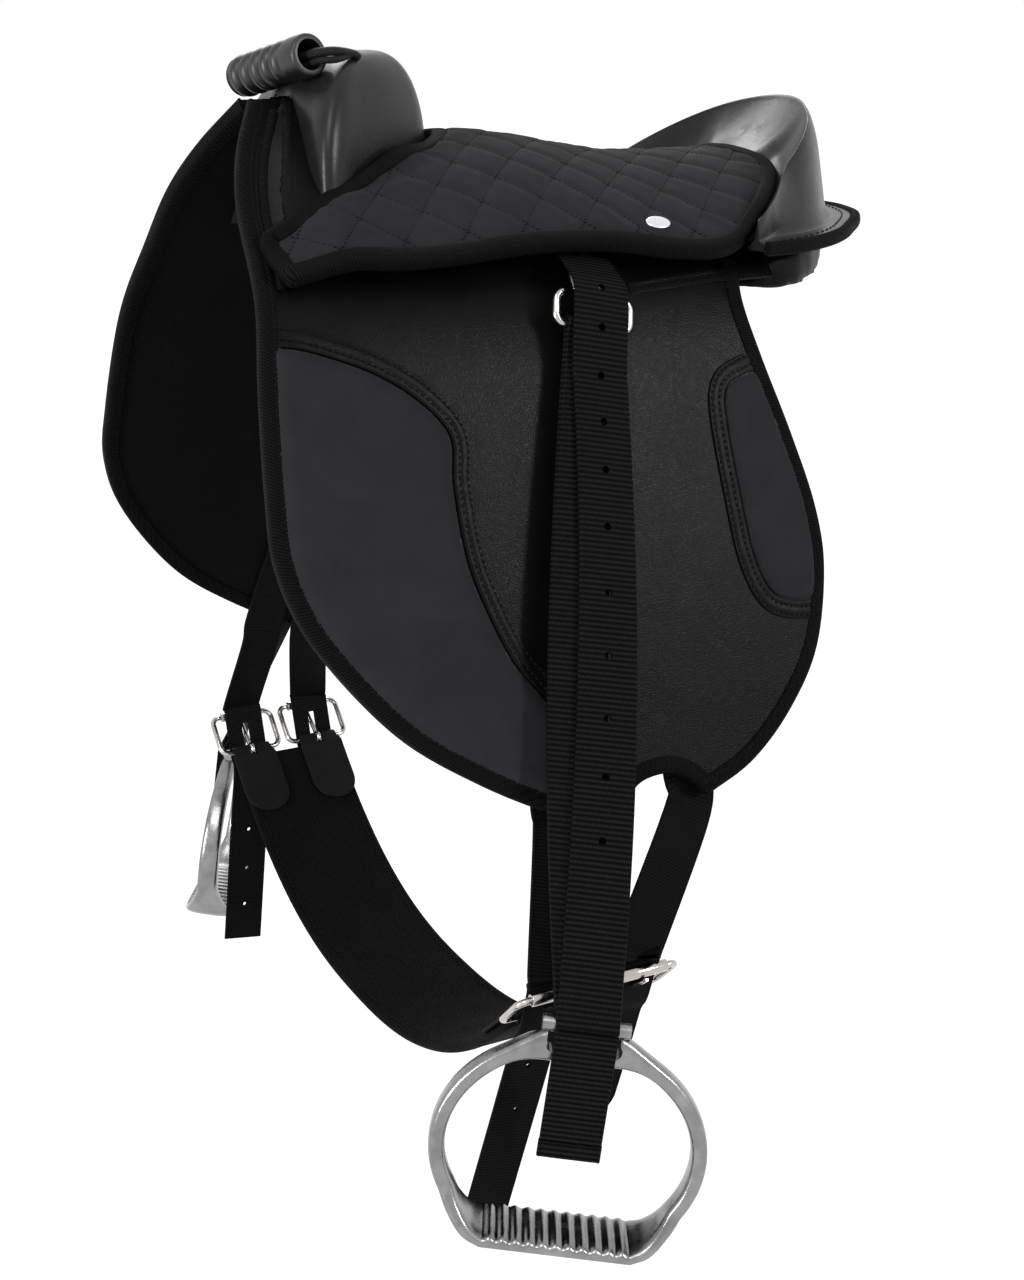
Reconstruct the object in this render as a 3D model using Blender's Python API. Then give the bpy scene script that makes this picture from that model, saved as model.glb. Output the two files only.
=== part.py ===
"""Pony saddle with its stirrups, girth and grab handle.

Metres. The front of the saddle is -X, the near side is -Y, the off side is +Y and up is +Z.
The origin lies on the middle plane, on the pony's back below the deepest part of the seat.
"""
import math

import bmesh
import bpy
from mathutils import Matrix, Vector

MM = 0.001
NEAR = -1
OFF = 1
SIDES = (("near", NEAR), ("off", OFF))
GAP = 0.3 * MM
SEAT_GAP = 0.6 * MM

# The skirt that the flaps follow: a steep neck over the withers, a shoulder, then a steady splay
NECK_TOP = 70 * MM
NECK_HALF_WIDTH = 14.4 * MM
NECK_SLOPE = 1.05
SHOULDER_HALF_WIDTH = 102 * MM
SPLAY = 0.324
SHOULDER_BLEND = 16 * MM
SKIRT_STEP = 22 * MM
SKIRT_TOP = 82 * MM
SKIRT_LOW = -290 * MM

# Flaps
FLAP_FRONT = -218 * MM
FLAP_LENGTH = 304 * MM
FLAP_RISE = 76 * MM
FLAP_DROP = 266 * MM
FLAP_THICKNESS = 3.5 * MM
LINING_THICKNESS = 2.5 * MM
BINDING_WIDTH = 8.5 * MM
BINDING_PROUD = 0.9 * MM
INSERT_THICKNESS = 3 * MM
FLAP_SEAT_LINE = 7 * MM
NECK_REAR = -130 * MM
NECK_BINDING_WIDTH = 4.5 * MM

# Seat pad
PAD_THICKNESS = 12 * MM
PAD_EDGE_THICKNESS = 5 * MM
PAD_CROWN = 2.6 * MM
QUILT_PITCH = 23 * MM
PAD_HALF_WIDTH = 107 * MM
PAD_RIDGE_RADIUS = 22 * MM
PAD_BINDING_RADIUS = 3.6 * MM
WING_CLEARANCE = 3.4 * MM

# Pommel and its stitched flange
POMMEL_TOP = 99 * MM
POMMEL_X = -106 * MM
POMMEL_WALL = 3 * MM
POMMEL_FLANGE_THICKNESS = 2.5 * MM

# Cantle: radii are measured from a point on the middle plane
CANTLE_X = 60 * MM
CANTLE_RIM_HEIGHT = 75 * MM
CANTLE_WING_HEIGHT = 13 * MM
CANTLE_FLANGE_HEIGHT = 13 * MM
CANTLE_FLANGE_THICKNESS = 4 * MM
CANTLE_BEAD_RADIUS = 3 * MM
CANTLE_SWEEP = math.radians(88)

# Tree, head plate and panels
TREE_THICKNESS = 8 * MM
TREE_HALF_WIDTH = 66 * MM
TREE_FRONT = -94 * MM
TREE_REAR = 143 * MM
HEAD_PLATE_THICKNESS = 3 * MM
HEAD_PLATE_LENGTH = 30 * MM
HEAD_PLATE_SPAN = 62 * MM
PANEL_SLOPE = 0.36
PANEL_FOOT = -26 * MM
PANEL_FOOT_Y = 100 * MM
PANEL_INNER_Y = 20 * MM

# Webbing
STRAP_WIDTH = 30 * MM
STRAP_THICKNESS = 2.2 * MM
PLY_GAP = 0.45 * MM
STRAP_HOLE_RADIUS = 1.8 * MM
BILLET_WIDTH = 26 * MM
BILLET_THICKNESS = 2.2 * MM
GIRTH_WIDTH = 75 * MM
GIRTH_THICKNESS = 5 * MM
GIRTH_X = -90 * MM
GIRTH_HALF_SPAN = 196 * MM
GIRTH_LOW = -434 * MM
GIRTH_RISE = 80 * MM
GIRTH_POWER = 2.4
CHAPE_WIDTH = 30 * MM
CHAPE_LENGTH = 46 * MM
CHAPE_THICKNESS = 1.6 * MM

# Girth buckles
BUCKLE_WIDTH = 41 * MM
BUCKLE_HEIGHT = 27 * MM
BUCKLE_WIRE = 1.8 * MM
ROLLER_RADIUS = 3.1 * MM
TONGUE_RADIUS = 1.5 * MM
BUCKLE_PITCH = 48 * MM

# Stirrup hangers and straps
HANGER_X = -36 * MM
HANGER_Y = 113 * MM
HANGER_Z = -17 * MM
HANGER_WIRE = 2 * MM
HANGER_HALF_WIDTH = 6 * MM
RING_LENGTH = 16 * MM
EYE_BAR_RADIUS = 4 * MM
NEAR_EYE_FORWARD = 20 * MM
NEAR_EYE_CLEARANCE = 45 * MM
NEAR_EYE_HEIGHT = -339 * MM
OFF_EYE_FORWARD = 15 * MM
OFF_EYE_CLEARANCE = 66 * MM
OFF_EYE_HEIGHT = -371 * MM
TAIL_LENGTH = 64 * MM
NEAR_TWIST = math.radians(28)
OFF_TWIST = math.radians(60)
STRAP_BOW = 15 * MM

# Stirrup irons, measured from the middle of the eye bar
IRON_WIDTH = 134 * MM
IRON_TREAD_DROP = 110 * MM
IRON_ARM_WIDTH = 8 * MM
IRON_ARM_DEPTH = 9.5 * MM
TREAD_DEPTH = 34 * MM
TREAD_LENGTH = 88 * MM
TREAD_THICKNESS = 7 * MM
TREAD_RIBS = 11
IRON_LEAN = 0.155
TREAD_RIB_HEIGHT = 1.6 * MM
SLOT_LENGTH = 36 * MM
SLOT_HEIGHT = 9 * MM
IRON_BAND = 7 * MM

# Grab handle
HANDLE_X = -121 * MM
HANDLE_Y = 26 * MM
HANDLE_Z = 95 * MM
CORD_RADIUS = 2.2 * MM
SLEEVE_RADIUS = 10.5 * MM
SLEEVE_BORE = 7 * MM
SLEEVE_LENGTH = 62 * MM
SLEEVE_RIBS = 5

BADGE_RADIUS = 7 * MM
BADGE_THICKNESS = 1 * MM

for old_object in list(bpy.data.objects):
    bpy.data.objects.remove(old_object, do_unlink=True)

SADDLE = bpy.data.collections.new("pony_saddle")
CUTTERS = bpy.data.collections.new("cutters")
bpy.context.scene.collection.children.link(SADDLE)
bpy.context.scene.collection.children.link(CUTTERS)


def material(name, colour, roughness, metallic=0.0):
    found = bpy.data.materials.get(name)
    if found:
        return found
    made = bpy.data.materials.new(name)
    made.use_nodes = True
    shader = made.node_tree.nodes["Principled BSDF"]
    shader.inputs["Base Color"].default_value = (*colour, 1.0)
    shader.inputs["Roughness"].default_value = roughness
    shader.inputs["Metallic"].default_value = metallic
    return made


def leather():
    return material("leather", (0.018, 0.018, 0.019), 0.42)


def moulded_leather():
    return material("moulded_leather", (0.022, 0.022, 0.023), 0.3)


def suede():
    return material("suede", (0.026, 0.024, 0.030), 0.85)


def lining_cloth():
    return material("lining_cloth", (0.012, 0.012, 0.014), 0.9)


def binding_tape():
    return material("binding_tape", (0.016, 0.016, 0.017), 0.75)


def webbing():
    return material("webbing", (0.012, 0.012, 0.012), 0.8)


def cast_aluminium():
    return material("cast_aluminium", (0.62, 0.62, 0.63), 0.32, 1.0)


def nickel():
    return material("nickel", (0.60, 0.57, 0.53), 0.22, 1.0)


def tree_plastic():
    return material("tree_plastic", (0.03, 0.03, 0.03), 0.6)


def sleeve_rubber():
    return material("sleeve_rubber", (0.02, 0.02, 0.022), 0.45)


def braided_cord():
    return material("braided_cord", (0.014, 0.014, 0.015), 0.7)


def blank_metal():
    return material("blank_metal", (0.75, 0.75, 0.76), 0.3, 1.0)


def piece(name, mesh, finish, smooth=40):
    obj = bpy.data.objects.new(name, mesh)
    SADDLE.objects.link(obj)
    mesh.materials.clear()
    mesh.materials.append(finish)
    mesh.shade_smooth()
    mesh.set_sharp_from_angle(angle=math.radians(smooth))
    return obj


def mesh_from(bm, name):
    bmesh.ops.triangulate(bm, faces=[face for face in bm.faces if len(face.verts) > 4])
    bmesh.ops.recalc_face_normals(bm, faces=bm.faces)
    mesh = bpy.data.meshes.new(name)
    bm.to_mesh(mesh)
    bm.free()
    return mesh


def evaluated_mesh(obj):
    graph = bpy.context.evaluated_depsgraph_get()
    mesh = bpy.data.meshes.new_from_object(obj.evaluated_get(graph), depsgraph=graph)
    mesh.transform(obj.matrix_world)
    return mesh


def smooth_path(points, steps=4, closed=False):
    """Catmull-Rom curve through the points."""
    points = [Vector(p) for p in points]
    count = len(points)
    spans = count if closed else count - 1
    path = []
    for i in range(spans):
        if closed:
            a, b, c, d = (points[(i + k - 1) % count] for k in range(4))
        else:
            b, c = points[i], points[i + 1]
            a = points[i - 1] if i > 0 else b * 2 - c
            d = points[i + 2] if i + 2 < count else c * 2 - b
        for k in range(steps):
            t = k / steps
            path.append(((b * 2) + (c - a) * t + (a * 2 - b * 5 + c * 4 - d) * t * t
                         + (b * 3 - a - c * 3 + d) * t ** 3) / 2)
    if not closed:
        path.append(points[-1])
    return path


def station(stations, x):
    """A smooth value between named stations, each a place and its value."""
    if x <= stations[0][0]:
        return stations[0][1]
    for (x0, v0), (x1, v1) in zip(stations, stations[1:]):
        if x <= x1:
            t = (x - x0) / (x1 - x0)
            return v0 + (v1 - v0) * t * t * (3 - 2 * t)
    return stations[-1][1]


def loft(rings, closed=True):
    """Bridges rings of equal count. The ends get caps, or a closed loft joins its last ring to its first."""
    bm = bmesh.new()
    rows = [[bm.verts.new(p) for p in ring] for ring in rings]
    count = len(rows[0])
    pairs = list(zip(rows, rows[1:]))
    if not closed:
        pairs.append((rows[-1], rows[0]))
    for low, high in pairs:
        for k in range(count):
            bm.faces.new((low[k], low[(k + 1) % count], high[(k + 1) % count], high[k]))
    if closed:
        bm.faces.new(rows[0])
        bm.faces.new(rows[-1])
    return bm


def ribbon(path, widths, across, outward, thickness):
    """A strap: rectangular sections along a path, from lists of width and of the two unit directions."""
    rings = []
    for p, w, a, n in zip(path, widths, across, outward):
        a = a * (w / 2)
        n = n * (thickness / 2)
        rings.append([p - a - n, p + a - n, p + a + n, p - a + n])
    return loft(rings)


def triangulated(bm):
    """Cuts twisted quads into flat triangles."""
    bmesh.ops.triangulate(bm, faces=bm.faces[:])
    return bm


def tube(name, path, radius, finish, cyclic=False, resolution=2):
    """A round cord or bead along a path, as a closed mesh."""
    data = bpy.data.curves.new(name, "CURVE")
    data.dimensions = "3D"
    data.bevel_depth = radius
    data.bevel_resolution = resolution
    data.use_fill_caps = True
    spline = data.splines.new("POLY")
    spline.points.add(len(path) - 1)
    for point, place in zip(spline.points, path):
        point.co = (*place, 1.0)
    spline.use_cyclic_u = cyclic
    curve = bpy.data.objects.new(name + "_curve", data)
    SADDLE.objects.link(curve)
    mesh = evaluated_mesh(curve)
    bpy.data.objects.remove(curve, do_unlink=True)
    bm = bmesh.new()
    bm.from_mesh(mesh)
    bmesh.ops.remove_doubles(bm, verts=bm.verts, dist=0.00001)
    return piece(name, mesh_from(bm, name), finish)


def cutter(name, mesh):
    obj = bpy.data.objects.new(name, mesh)
    CUTTERS.objects.link(obj)
    obj.hide_render = True
    obj.display_type = "WIRE"
    return obj


def boolean(obj, other, operation="DIFFERENCE"):
    mod = obj.modifiers.new(operation.lower(), "BOOLEAN")
    mod.operation = operation
    mod.solver = "EXACT"
    mod.object = other


def rod_mesh(start, end, radius, sides=12):
    """A cylinder from one point to another."""
    start, end = Vector(start), Vector(end)
    bm = bmesh.new()
    bmesh.ops.create_cone(bm, cap_ends=True, segments=sides, radius1=radius, radius2=radius,
                          depth=(end - start).length)
    turn = (end - start).to_track_quat("Z", "Y").to_matrix().to_4x4()
    bm.transform(Matrix.Translation((start + end) / 2) @ turn)
    return mesh_from(bm, "rod")


def block(middle, axes, sizes):
    """A box about a middle point, from its three directions and sizes."""
    bm = bmesh.new()
    bmesh.ops.create_cube(bm, size=1.0)
    turn = Matrix([axis * size for axis, size in zip(axes, sizes)]).transposed().to_4x4()
    bm.transform(Matrix.Translation(middle) @ turn)
    return mesh_from(bm, "block")


# The skirt surface


def spread(z):
    """Half the distance between the two flaps' outer faces at a height."""
    upper = NECK_HALF_WIDTH + (NECK_TOP - z) * NECK_SLOPE
    lower = SHOULDER_HALF_WIDTH - z * SPLAY
    return (upper + lower - math.sqrt((upper - lower) ** 2 + SHOULDER_BLEND ** 2)) / 2


SKIRT_KNOTS = [SKIRT_TOP - i * SKIRT_STEP for i in range(int((SKIRT_TOP - SKIRT_LOW) / SKIRT_STEP) + 2)]


def skirt_knot(z):
    """Half-width and outward unit normal (across, up) at a knot."""
    slope = (spread(z - MM) - spread(z + MM)) / (2 * MM)
    size = math.hypot(1, slope)
    return spread(z), 1 / size, slope / size


SKIRT_TABLE = [skirt_knot(z) for z in SKIRT_KNOTS]


def skirt(x, z, out, side):
    """A point at a height on the skirt, standing out of the flap's outer face."""
    place = (SKIRT_TOP - z) / SKIRT_STEP
    i = max(0, min(int(place), len(SKIRT_KNOTS) - 2))
    t = place - i
    half, across, up = (a + (b - a) * t for a, b in zip(SKIRT_TABLE[i], SKIRT_TABLE[i + 1]))
    return Vector((x, side * (half + out * across), z + out * up))


def skirt_height(y):
    """The height at which the skirt's outer face reaches a half-width."""
    low, high = SKIRT_LOW, SKIRT_TOP
    for _ in range(40):
        middle = (low + high) / 2
        if spread(middle) > y:
            low = middle
        else:
            high = middle
    return low


def skirt_sheet(name, outline, inner, outer, side, finish):
    """A flat outline of (x, z) laid on the skirt between two distances from the flap's outer face."""
    bm = bmesh.new()
    face = bm.faces.new([bm.verts.new((p[0], 0, p[1])) for p in outline])
    for knot in SKIRT_KNOTS:
        bmesh.ops.bisect_plane(bm, geom=bm.verts[:] + bm.edges[:] + bm.faces[:], dist=0.00001,
                               plane_co=(0, 0, knot), plane_no=(0, 0, 1))
    bmesh.ops.triangulate(bm, faces=[face for face in bm.faces if len(face.verts) > 4])
    made = bmesh.ops.extrude_face_region(bm, geom=bm.faces[:], use_keep_orig=True)
    lifted = {v for v in made["geom"] if isinstance(v, bmesh.types.BMVert)}
    for v in bm.verts:
        v.co = skirt(v.co.x, v.co.z, outer if v in lifted else inner, side)
    return piece(name, mesh_from(bm, name), finish)


def inset(path, distance, closed=False):
    """A path moved sideways, to the left of its direction, in the plane of its two coordinates."""
    moved = []
    count = len(path)
    for i, p in enumerate(path):
        before = path[i - 1] if i > 0 or closed else p
        after = path[(i + 1) % count] if i < count - 1 or closed else p
        tangents = [(b - a).normalized() for a, b in ((before, p), (p, after)) if (b - a).length > 1e-9]
        normals = [Vector((-t.y, t.x)) for t in tangents]
        middle = sum(normals, Vector((0, 0)))
        middle.normalize()
        reach = max(0.45, middle.dot(normals[0]))
        moved.append(p + middle * (distance / reach))
    return [p for p in moved if clearance(p, path) > abs(distance) * 0.985]


def clearance(p, path):
    """Distance from a point to the nearest piece of a path."""
    nearest = 1.0
    for a, b in zip(path, path[1:]):
        run = b - a
        share = max(0.0, min(1.0, (p - a).dot(run) / max(run.length_squared, 1e-12)))
        nearest = min(nearest, (p - a - run * share).length)
    return nearest


def flap_place(u, v):
    """A place on the flap: u runs from its front to its rear, v from the seat line down to its lowest edge."""
    return Vector((FLAP_FRONT + u * FLAP_LENGTH, -v * FLAP_DROP))


def flap_edge():
    """The free edge of the flap, from the top of the neck down the front, round the foot and up the rear."""
    front = [Vector((FLAP_FRONT + 0.150 * FLAP_LENGTH, FLAP_RISE)),
             Vector((FLAP_FRONT + 0.100 * FLAP_LENGTH, 0.70 * FLAP_RISE)),
             Vector((FLAP_FRONT + 0.068 * FLAP_LENGTH, 0.38 * FLAP_RISE)),
             flap_place(0.050, 0.02), flap_place(0.022, 0.17), flap_place(0.004, 0.36), flap_place(0.003, 0.48),
             flap_place(0.044, 0.61), flap_place(0.155, 0.775), flap_place(0.285, 0.885),
             flap_place(0.415, 0.965), flap_place(0.50, 0.995)]
    arch = [flap_place(0.535, 0.962), flap_place(0.572, 0.935), flap_place(0.625, 0.93), flap_place(0.665, 0.95)]
    rear = [flap_place(0.69, 0.985), flap_place(0.79, 0.94), flap_place(0.88, 0.862), flap_place(0.955, 0.755),
            flap_place(0.995, 0.61), flap_place(0.995, 0.49), flap_place(0.967, 0.35), flap_place(0.93, 0.20),
            flap_place(0.915, 0.10), flap_place(0.93, 0.03)]
    return (smooth_path(front, 3)[:-1] + smooth_path([front[-1]] + arch, 3)
            + smooth_path(rear, 3))


def flap_outline(edge_gap):
    """The flap inside its binding, closed along the neck's rear edge and the seat line."""
    edge = [Vector(p) for p in inset(flap_edge(), BINDING_WIDTH + edge_gap)]
    edge = [p for p in edge if p.y <= FLAP_RISE]
    top = [Vector((edge[-1].x - 8 * MM, FLAP_SEAT_LINE)), Vector((NECK_REAR + 26 * MM, FLAP_SEAT_LINE)),
           Vector((NECK_REAR + 4 * MM, FLAP_SEAT_LINE + 13 * MM)), Vector((NECK_REAR, FLAP_RISE))]
    return edge + top


def front_insert_outline():
    edge = inset([p for p in flap_edge()], BINDING_WIDTH + 3 * MM)
    front = [p for p in edge if p.y < -0.12 * FLAP_DROP and p.x < FLAP_FRONT + 0.39 * FLAP_LENGTH]
    inner = smooth_path([flap_place(0.42, 0.895), flap_place(0.425, 0.79), flap_place(0.365, 0.685),
                         flap_place(0.325, 0.565), flap_place(0.31, 0.48), flap_place(0.308, 0.37),
                         flap_place(0.315, 0.29), flap_place(0.27, 0.225), flap_place(0.205, 0.175),
                         flap_place(0.13, 0.14), flap_place(0.085, 0.125)], 2)
    return front + inner


def rear_insert_outline():
    edge = inset(flap_edge(), BINDING_WIDTH + 3 * MM)
    rear = [p for p in edge if p.x > FLAP_FRONT + 0.84 * FLAP_LENGTH and -0.655 * FLAP_DROP < p.y < -0.235 * FLAP_DROP]
    inner = smooth_path([flap_place(0.885, 0.235), flap_place(0.845, 0.26), flap_place(0.838, 0.33),
                         flap_place(0.843, 0.45), flap_place(0.852, 0.56), flap_place(0.875, 0.63),
                         flap_place(0.915, 0.655)], 2)
    return rear + inner


# Plan slabs: closed solids between two heights over an outline of (x, y)


def crest(x):
    """Height of the seat pad's top along the middle plane."""
    return station(((-200 * MM, 38 * MM), (-150 * MM, 51 * MM), (-60 * MM, 59 * MM), (50 * MM, 46 * MM),
                    (95 * MM, 46 * MM), (140 * MM, 51 * MM)), x)


def side_fall(x):
    """How far the pad's top falls from the crest to its widest edge."""
    return station(((-200 * MM, 49 * MM), (-60 * MM, 52 * MM), (0, 48 * MM), (40 * MM, 46 * MM),
                    (120 * MM, 38 * MM)), x)


def pad_top(x, y):
    smooth_y = math.sqrt(y * y + PAD_RIDGE_RADIUS ** 2) - PAD_RIDGE_RADIUS
    share = 0.45 * smooth_y / PAD_HALF_WIDTH + 0.55 * (y / PAD_HALF_WIDTH) ** 2
    height = crest(x) - side_fall(x) * share
    if x < NECK_REAR + 24 * MM:
        height = max(height, skirt_height(abs(y)) + WING_CLEARANCE + PAD_EDGE_THICKNESS)
    return height


def pad_bottom(x, y):
    height = pad_top(x, y) - PAD_THICKNESS
    if x < NECK_REAR + 24 * MM:
        height = max(height, skirt_height(abs(y)) + WING_CLEARANCE)
    return min(height, pad_top(x, y) - PAD_EDGE_THICKNESS)


def tree_top(x, y):
    return pad_top(x, y) - PAD_THICKNESS - SEAT_GAP


def slab(name, outline, top, bottom, cuts, finish, crown=0.0):
    """Splits a plan outline by planes, each (place, normal), and lifts it between two height functions."""
    bm = bmesh.new()
    bm.faces.new([bm.verts.new((p[0], p[1], 0)) for p in outline])
    for place, normal in cuts:
        bmesh.ops.bisect_plane(bm, geom=bm.verts[:] + bm.edges[:] + bm.faces[:], dist=0.00001,
                               plane_co=place, plane_no=normal)
    made = bmesh.ops.extrude_face_region(bm, geom=bm.faces[:], use_keep_orig=True)
    lifted = {v for v in made["geom"] if isinstance(v, bmesh.types.BMVert)}
    raised = [f for f in made["geom"] if isinstance(f, bmesh.types.BMFace)]
    cells = [f for f in raised if len(f.verts) == 4]
    for v in bm.verts:
        v.co.z = top(v.co.x, v.co.y) if v in lifted else bottom(v.co.x, v.co.y)
    if crown:
        poked = bmesh.ops.poke(bm, faces=cells)
        for v in poked["verts"]:
            v.co.z = top(v.co.x, v.co.y) + crown
    bmesh.ops.triangulate(bm, faces=bm.faces[:])
    return piece(name, mesh_from(bm, name), finish)


def grid_cuts(low_x, high_x, low_y, high_y, step):
    cuts = []
    for i in range(1, int((high_x - low_x) / step) + 1):
        cuts.append(((low_x + i * step, 0, 0), (1, 0, 0)))
    for i in range(1, int((high_y - low_y) / step) + 1):
        cuts.append(((0, low_y + i * step, 0), (0, 1, 0)))
    return cuts


def quilt_cuts():
    """Two families of diagonals, one quilt pitch apart."""
    cuts = []
    for i in range(-12, 13):
        place = i * QUILT_PITCH * math.sqrt(2)
        cuts.append(((place, 0, 0), (1, 1, 0)))
        cuts.append(((place, 0, 0), (1, -1, 0)))
    return cuts


def mirrored(half):
    """A closed plan outline from its near half, which starts and ends on the middle plane."""
    return half + [Vector((p[0], -p[1])) for p in reversed(half[1:-1])]


def pad_outline(grow=0.0):
    front = [(-69, 0), (-80, -17), (-108, -36), (-132, -50), (-153, -63), (-176, -80), (-194, -94)]
    side = [(-191, -100), (-150, -104), (-100, -107), (-40, -106), (0, -107), (35, -108), (52, -106)]
    rear = [(60, -101), (74, -89), (90, -75), (110, -55), (118, -38), (117, -18), (115, 0)]
    half = []
    for part in (front, side, rear):
        half += smooth_path([(x * MM, y * MM) for x, y in part], 2)
    if grow:
        half = inset(half, -grow)
        half[0].y = 0
        half[-1].y = 0
    return mirrored(half)


def seat_pad():
    body = pad_outline(-2 * PAD_BINDING_RADIUS - 1.6 * GAP)
    slab("seat_pad", body, pad_top, pad_bottom, quilt_cuts(), suede(), PAD_CROWN)
    path = []
    for p in pad_outline(-PAD_BINDING_RADIUS):
        path.append(Vector((p.x, p.y, pad_top(p.x, p.y) - PAD_EDGE_THICKNESS / 2)))
    tube("seat_pad_binding", path, PAD_BINDING_RADIUS, binding_tape(), cyclic=True, resolution=1)


def tree():
    half = smooth_path([(TREE_FRONT, 0), (TREE_FRONT, -0.5 * TREE_HALF_WIDTH), (TREE_FRONT + 6 * MM, -0.85 * TREE_HALF_WIDTH),
                        (TREE_FRONT + 50 * MM, -TREE_HALF_WIDTH), (TREE_REAR - 90 * MM, -TREE_HALF_WIDTH),
                        (TREE_REAR - 30 * MM, -0.8 * TREE_HALF_WIDTH), (TREE_REAR, -0.3 * TREE_HALF_WIDTH),
                        (TREE_REAR, 0)], 2)
    slab("tree", mirrored(half), tree_top, lambda x, y: tree_top(x, y) - TREE_THICKNESS, quilt_cuts(), tree_plastic())


def head_plate():
    """A steel arch under the neck of the flaps that keeps the front of the tree open over the withers."""
    front = NECK_REAR - HEAD_PLATE_LENGTH
    below = (FLAP_THICKNESS + LINING_THICKNESS) * math.hypot(1, 1 / NECK_SLOPE)

    def top(x, y):
        smooth_y = math.sqrt(y * y + (14 * MM) ** 2)
        return skirt_height(smooth_y) - below

    outline = [(front, -HEAD_PLATE_SPAN), (NECK_REAR, -HEAD_PLATE_SPAN), (NECK_REAR, HEAD_PLATE_SPAN),
               (front, HEAD_PLATE_SPAN)]
    cuts = grid_cuts(front, NECK_REAR, -HEAD_PLATE_SPAN, HEAD_PLATE_SPAN, 8 * MM)[3:]
    slab("head_plate", outline, top, lambda x, y: top(x, y) - HEAD_PLATE_THICKNESS, cuts, nickel())


def panel_bottom(x, y):
    return PANEL_FOOT + (PANEL_FOOT_Y - abs(y)) * PANEL_SLOPE


def panel_top(x, y):
    """Under the tree, inside the flap, and under the cantle's flange."""
    height = tree_top(x, y) - TREE_THICKNESS - 1.4 * MM
    if x < TREE_FRONT + 14 * MM:
        height = min(height, 22 * MM)
    if x < 78 * MM:
        flap_inside = (FLAP_THICKNESS + LINING_THICKNESS) * math.hypot(1, 1 / NECK_SLOPE) + 9.5 * MM
        height = min(height, skirt_height(abs(y)) - flap_inside)
    if x > 50 * MM:
        angle = math.atan2(y, x - CANTLE_X)
        height = min(height, flange_height(angle) - CANTLE_FLANGE_THICKNESS - 0.5 * MM)
    return max(height, panel_bottom(x, y) + 3 * MM)


def panels():
    for name, side in SIDES:
        half = smooth_path([(-150, 24), (-146, 60), (-120, 74), (-60, 80), (20, 80), (56, 82), (80, 93), (104, 92),
                            (132, 74), (150, 48), (154, 24)], 2)
        outline = [Vector((p[0] * MM, side * p[1] * MM)) for p in half]
        cuts = grid_cuts(-150 * MM, 154 * MM, -110 * MM, 110 * MM, 20 * MM)
        slab(name + "_panel", outline, panel_top, panel_bottom, cuts, lining_cloth())


def pommel_bottom(x, y):
    """On the neck of the flaps in front and on the tree behind."""
    y = max(abs(y), 8 * MM)
    on_neck = skirt_height(y) + 2.6 * SEAT_GAP
    on_tree = tree_top(x, y) + SEAT_GAP
    share = max(0.0, min(1.0, (NECK_REAR + 22 * MM - x) / (20 * MM)))
    share = share * share * (3 - 2 * share)
    return on_tree + (on_neck - on_tree) * share


def pommel():
    """A smooth dome over a rounded three-cornered foot."""
    half = smooth_path([(-73, 0), (-82, -14), (-106, -31), (-130, -45), (-146, -54), (-152, -50), (-147, -30),
                        (-141, -12), (-140, 0)], 2)
    foot = mirrored([Vector((p[0] * MM, p[1] * MM)) for p in half])
    centre = Vector((POMMEL_X, 0))
    shares = (1.0, 0.975, 0.93, 0.84, 0.70, 0.52, 0.33, 0.16)
    bm = bmesh.new()
    upper, lower = [], []
    for share in shares:
        ring = [centre + (p - centre) * share for p in foot]
        upper.append([])
        lower.append([])
        for p, q in zip(ring, foot):
            base = pommel_bottom(q.x, q.y) + POMMEL_WALL
            rise = (1 - share ** 2.6) ** (1 / 2.1)
            height = base + (POMMEL_TOP - base) * rise
            floor = pommel_bottom(p.x, p.y)
            upper[-1].append(bm.verts.new((p.x, p.y, max(height, floor + POMMEL_WALL))))
            lower[-1].append(bm.verts.new((p.x, p.y, floor)))
    top = bm.verts.new((centre.x, 0, POMMEL_TOP))
    low = bm.verts.new((centre.x, 0, pommel_bottom(centre.x, 0)))
    count = len(foot)
    for k in range(count):
        n = (k + 1) % count
        bm.faces.new((lower[0][k], lower[0][n], upper[0][n], upper[0][k]))
        for rows in (upper, lower):
            for a, b in zip(rows, rows[1:]):
                bm.faces.new((a[k], a[n], b[n], b[k]))
        bm.faces.new((upper[-1][k], upper[-1][n], top))
        bm.faces.new((lower[-1][k], lower[-1][n], low))
    piece("pommel", mesh_from(bm, "pommel"), moulded_leather())


def pommel_flanges():
    """The stitched leather strips that run down each side in front of the pommel."""
    for name, side in SIDES:
        outline = [Vector((x * MM, z * MM)) for x, z in (
            (-156, 76), (-143, 76), (-152, 52), (-160, 32), (-166, 18), (-180, 20), (-174, 34), (-165, 56))]
        skirt_sheet(name + "_pommel_flange", outline, GAP, GAP + POMMEL_FLANGE_THICKNESS, side, leather())


def cantle_radii(angle):
    """Inner edge, rim, back foot and flange radii at an angle from the rear."""
    a = abs(math.degrees(angle))
    inner = station(((0, 60), (20, 63.5), (34, 74), (50, 80), (69, 87), (90, 108)), a) * MM
    rim = station(((0, 95), (30, 92), (62, 92), (90, 110)), a) * MM
    foot = station(((0, 110), (45, 104), (75, 101), (90, 112)), a) * MM
    flange = station(((0, 125), (20, 122), (45, 115.5), (90, 116)), a) * MM
    return inner, max(rim, inner + 2 * MM), max(foot, inner + 4 * MM), max(flange, foot + 2 * MM)


def flange_height(angle):
    return CANTLE_FLANGE_HEIGHT - 9 * MM * math.sin(abs(angle)) ** 2


def cantle_floor(x, y, angle):
    """Underside of the cantle: on the tree inside its back, flat under the flange."""
    flange_floor = flange_height(angle) - CANTLE_FLANGE_THICKNESS
    if x > TREE_REAR + 16 * MM or abs(y) > TREE_HALF_WIDTH + 4 * MM:
        return flange_floor
    return max(flange_floor, tree_top(x, y) + 1.2 * SEAT_GAP)


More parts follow.
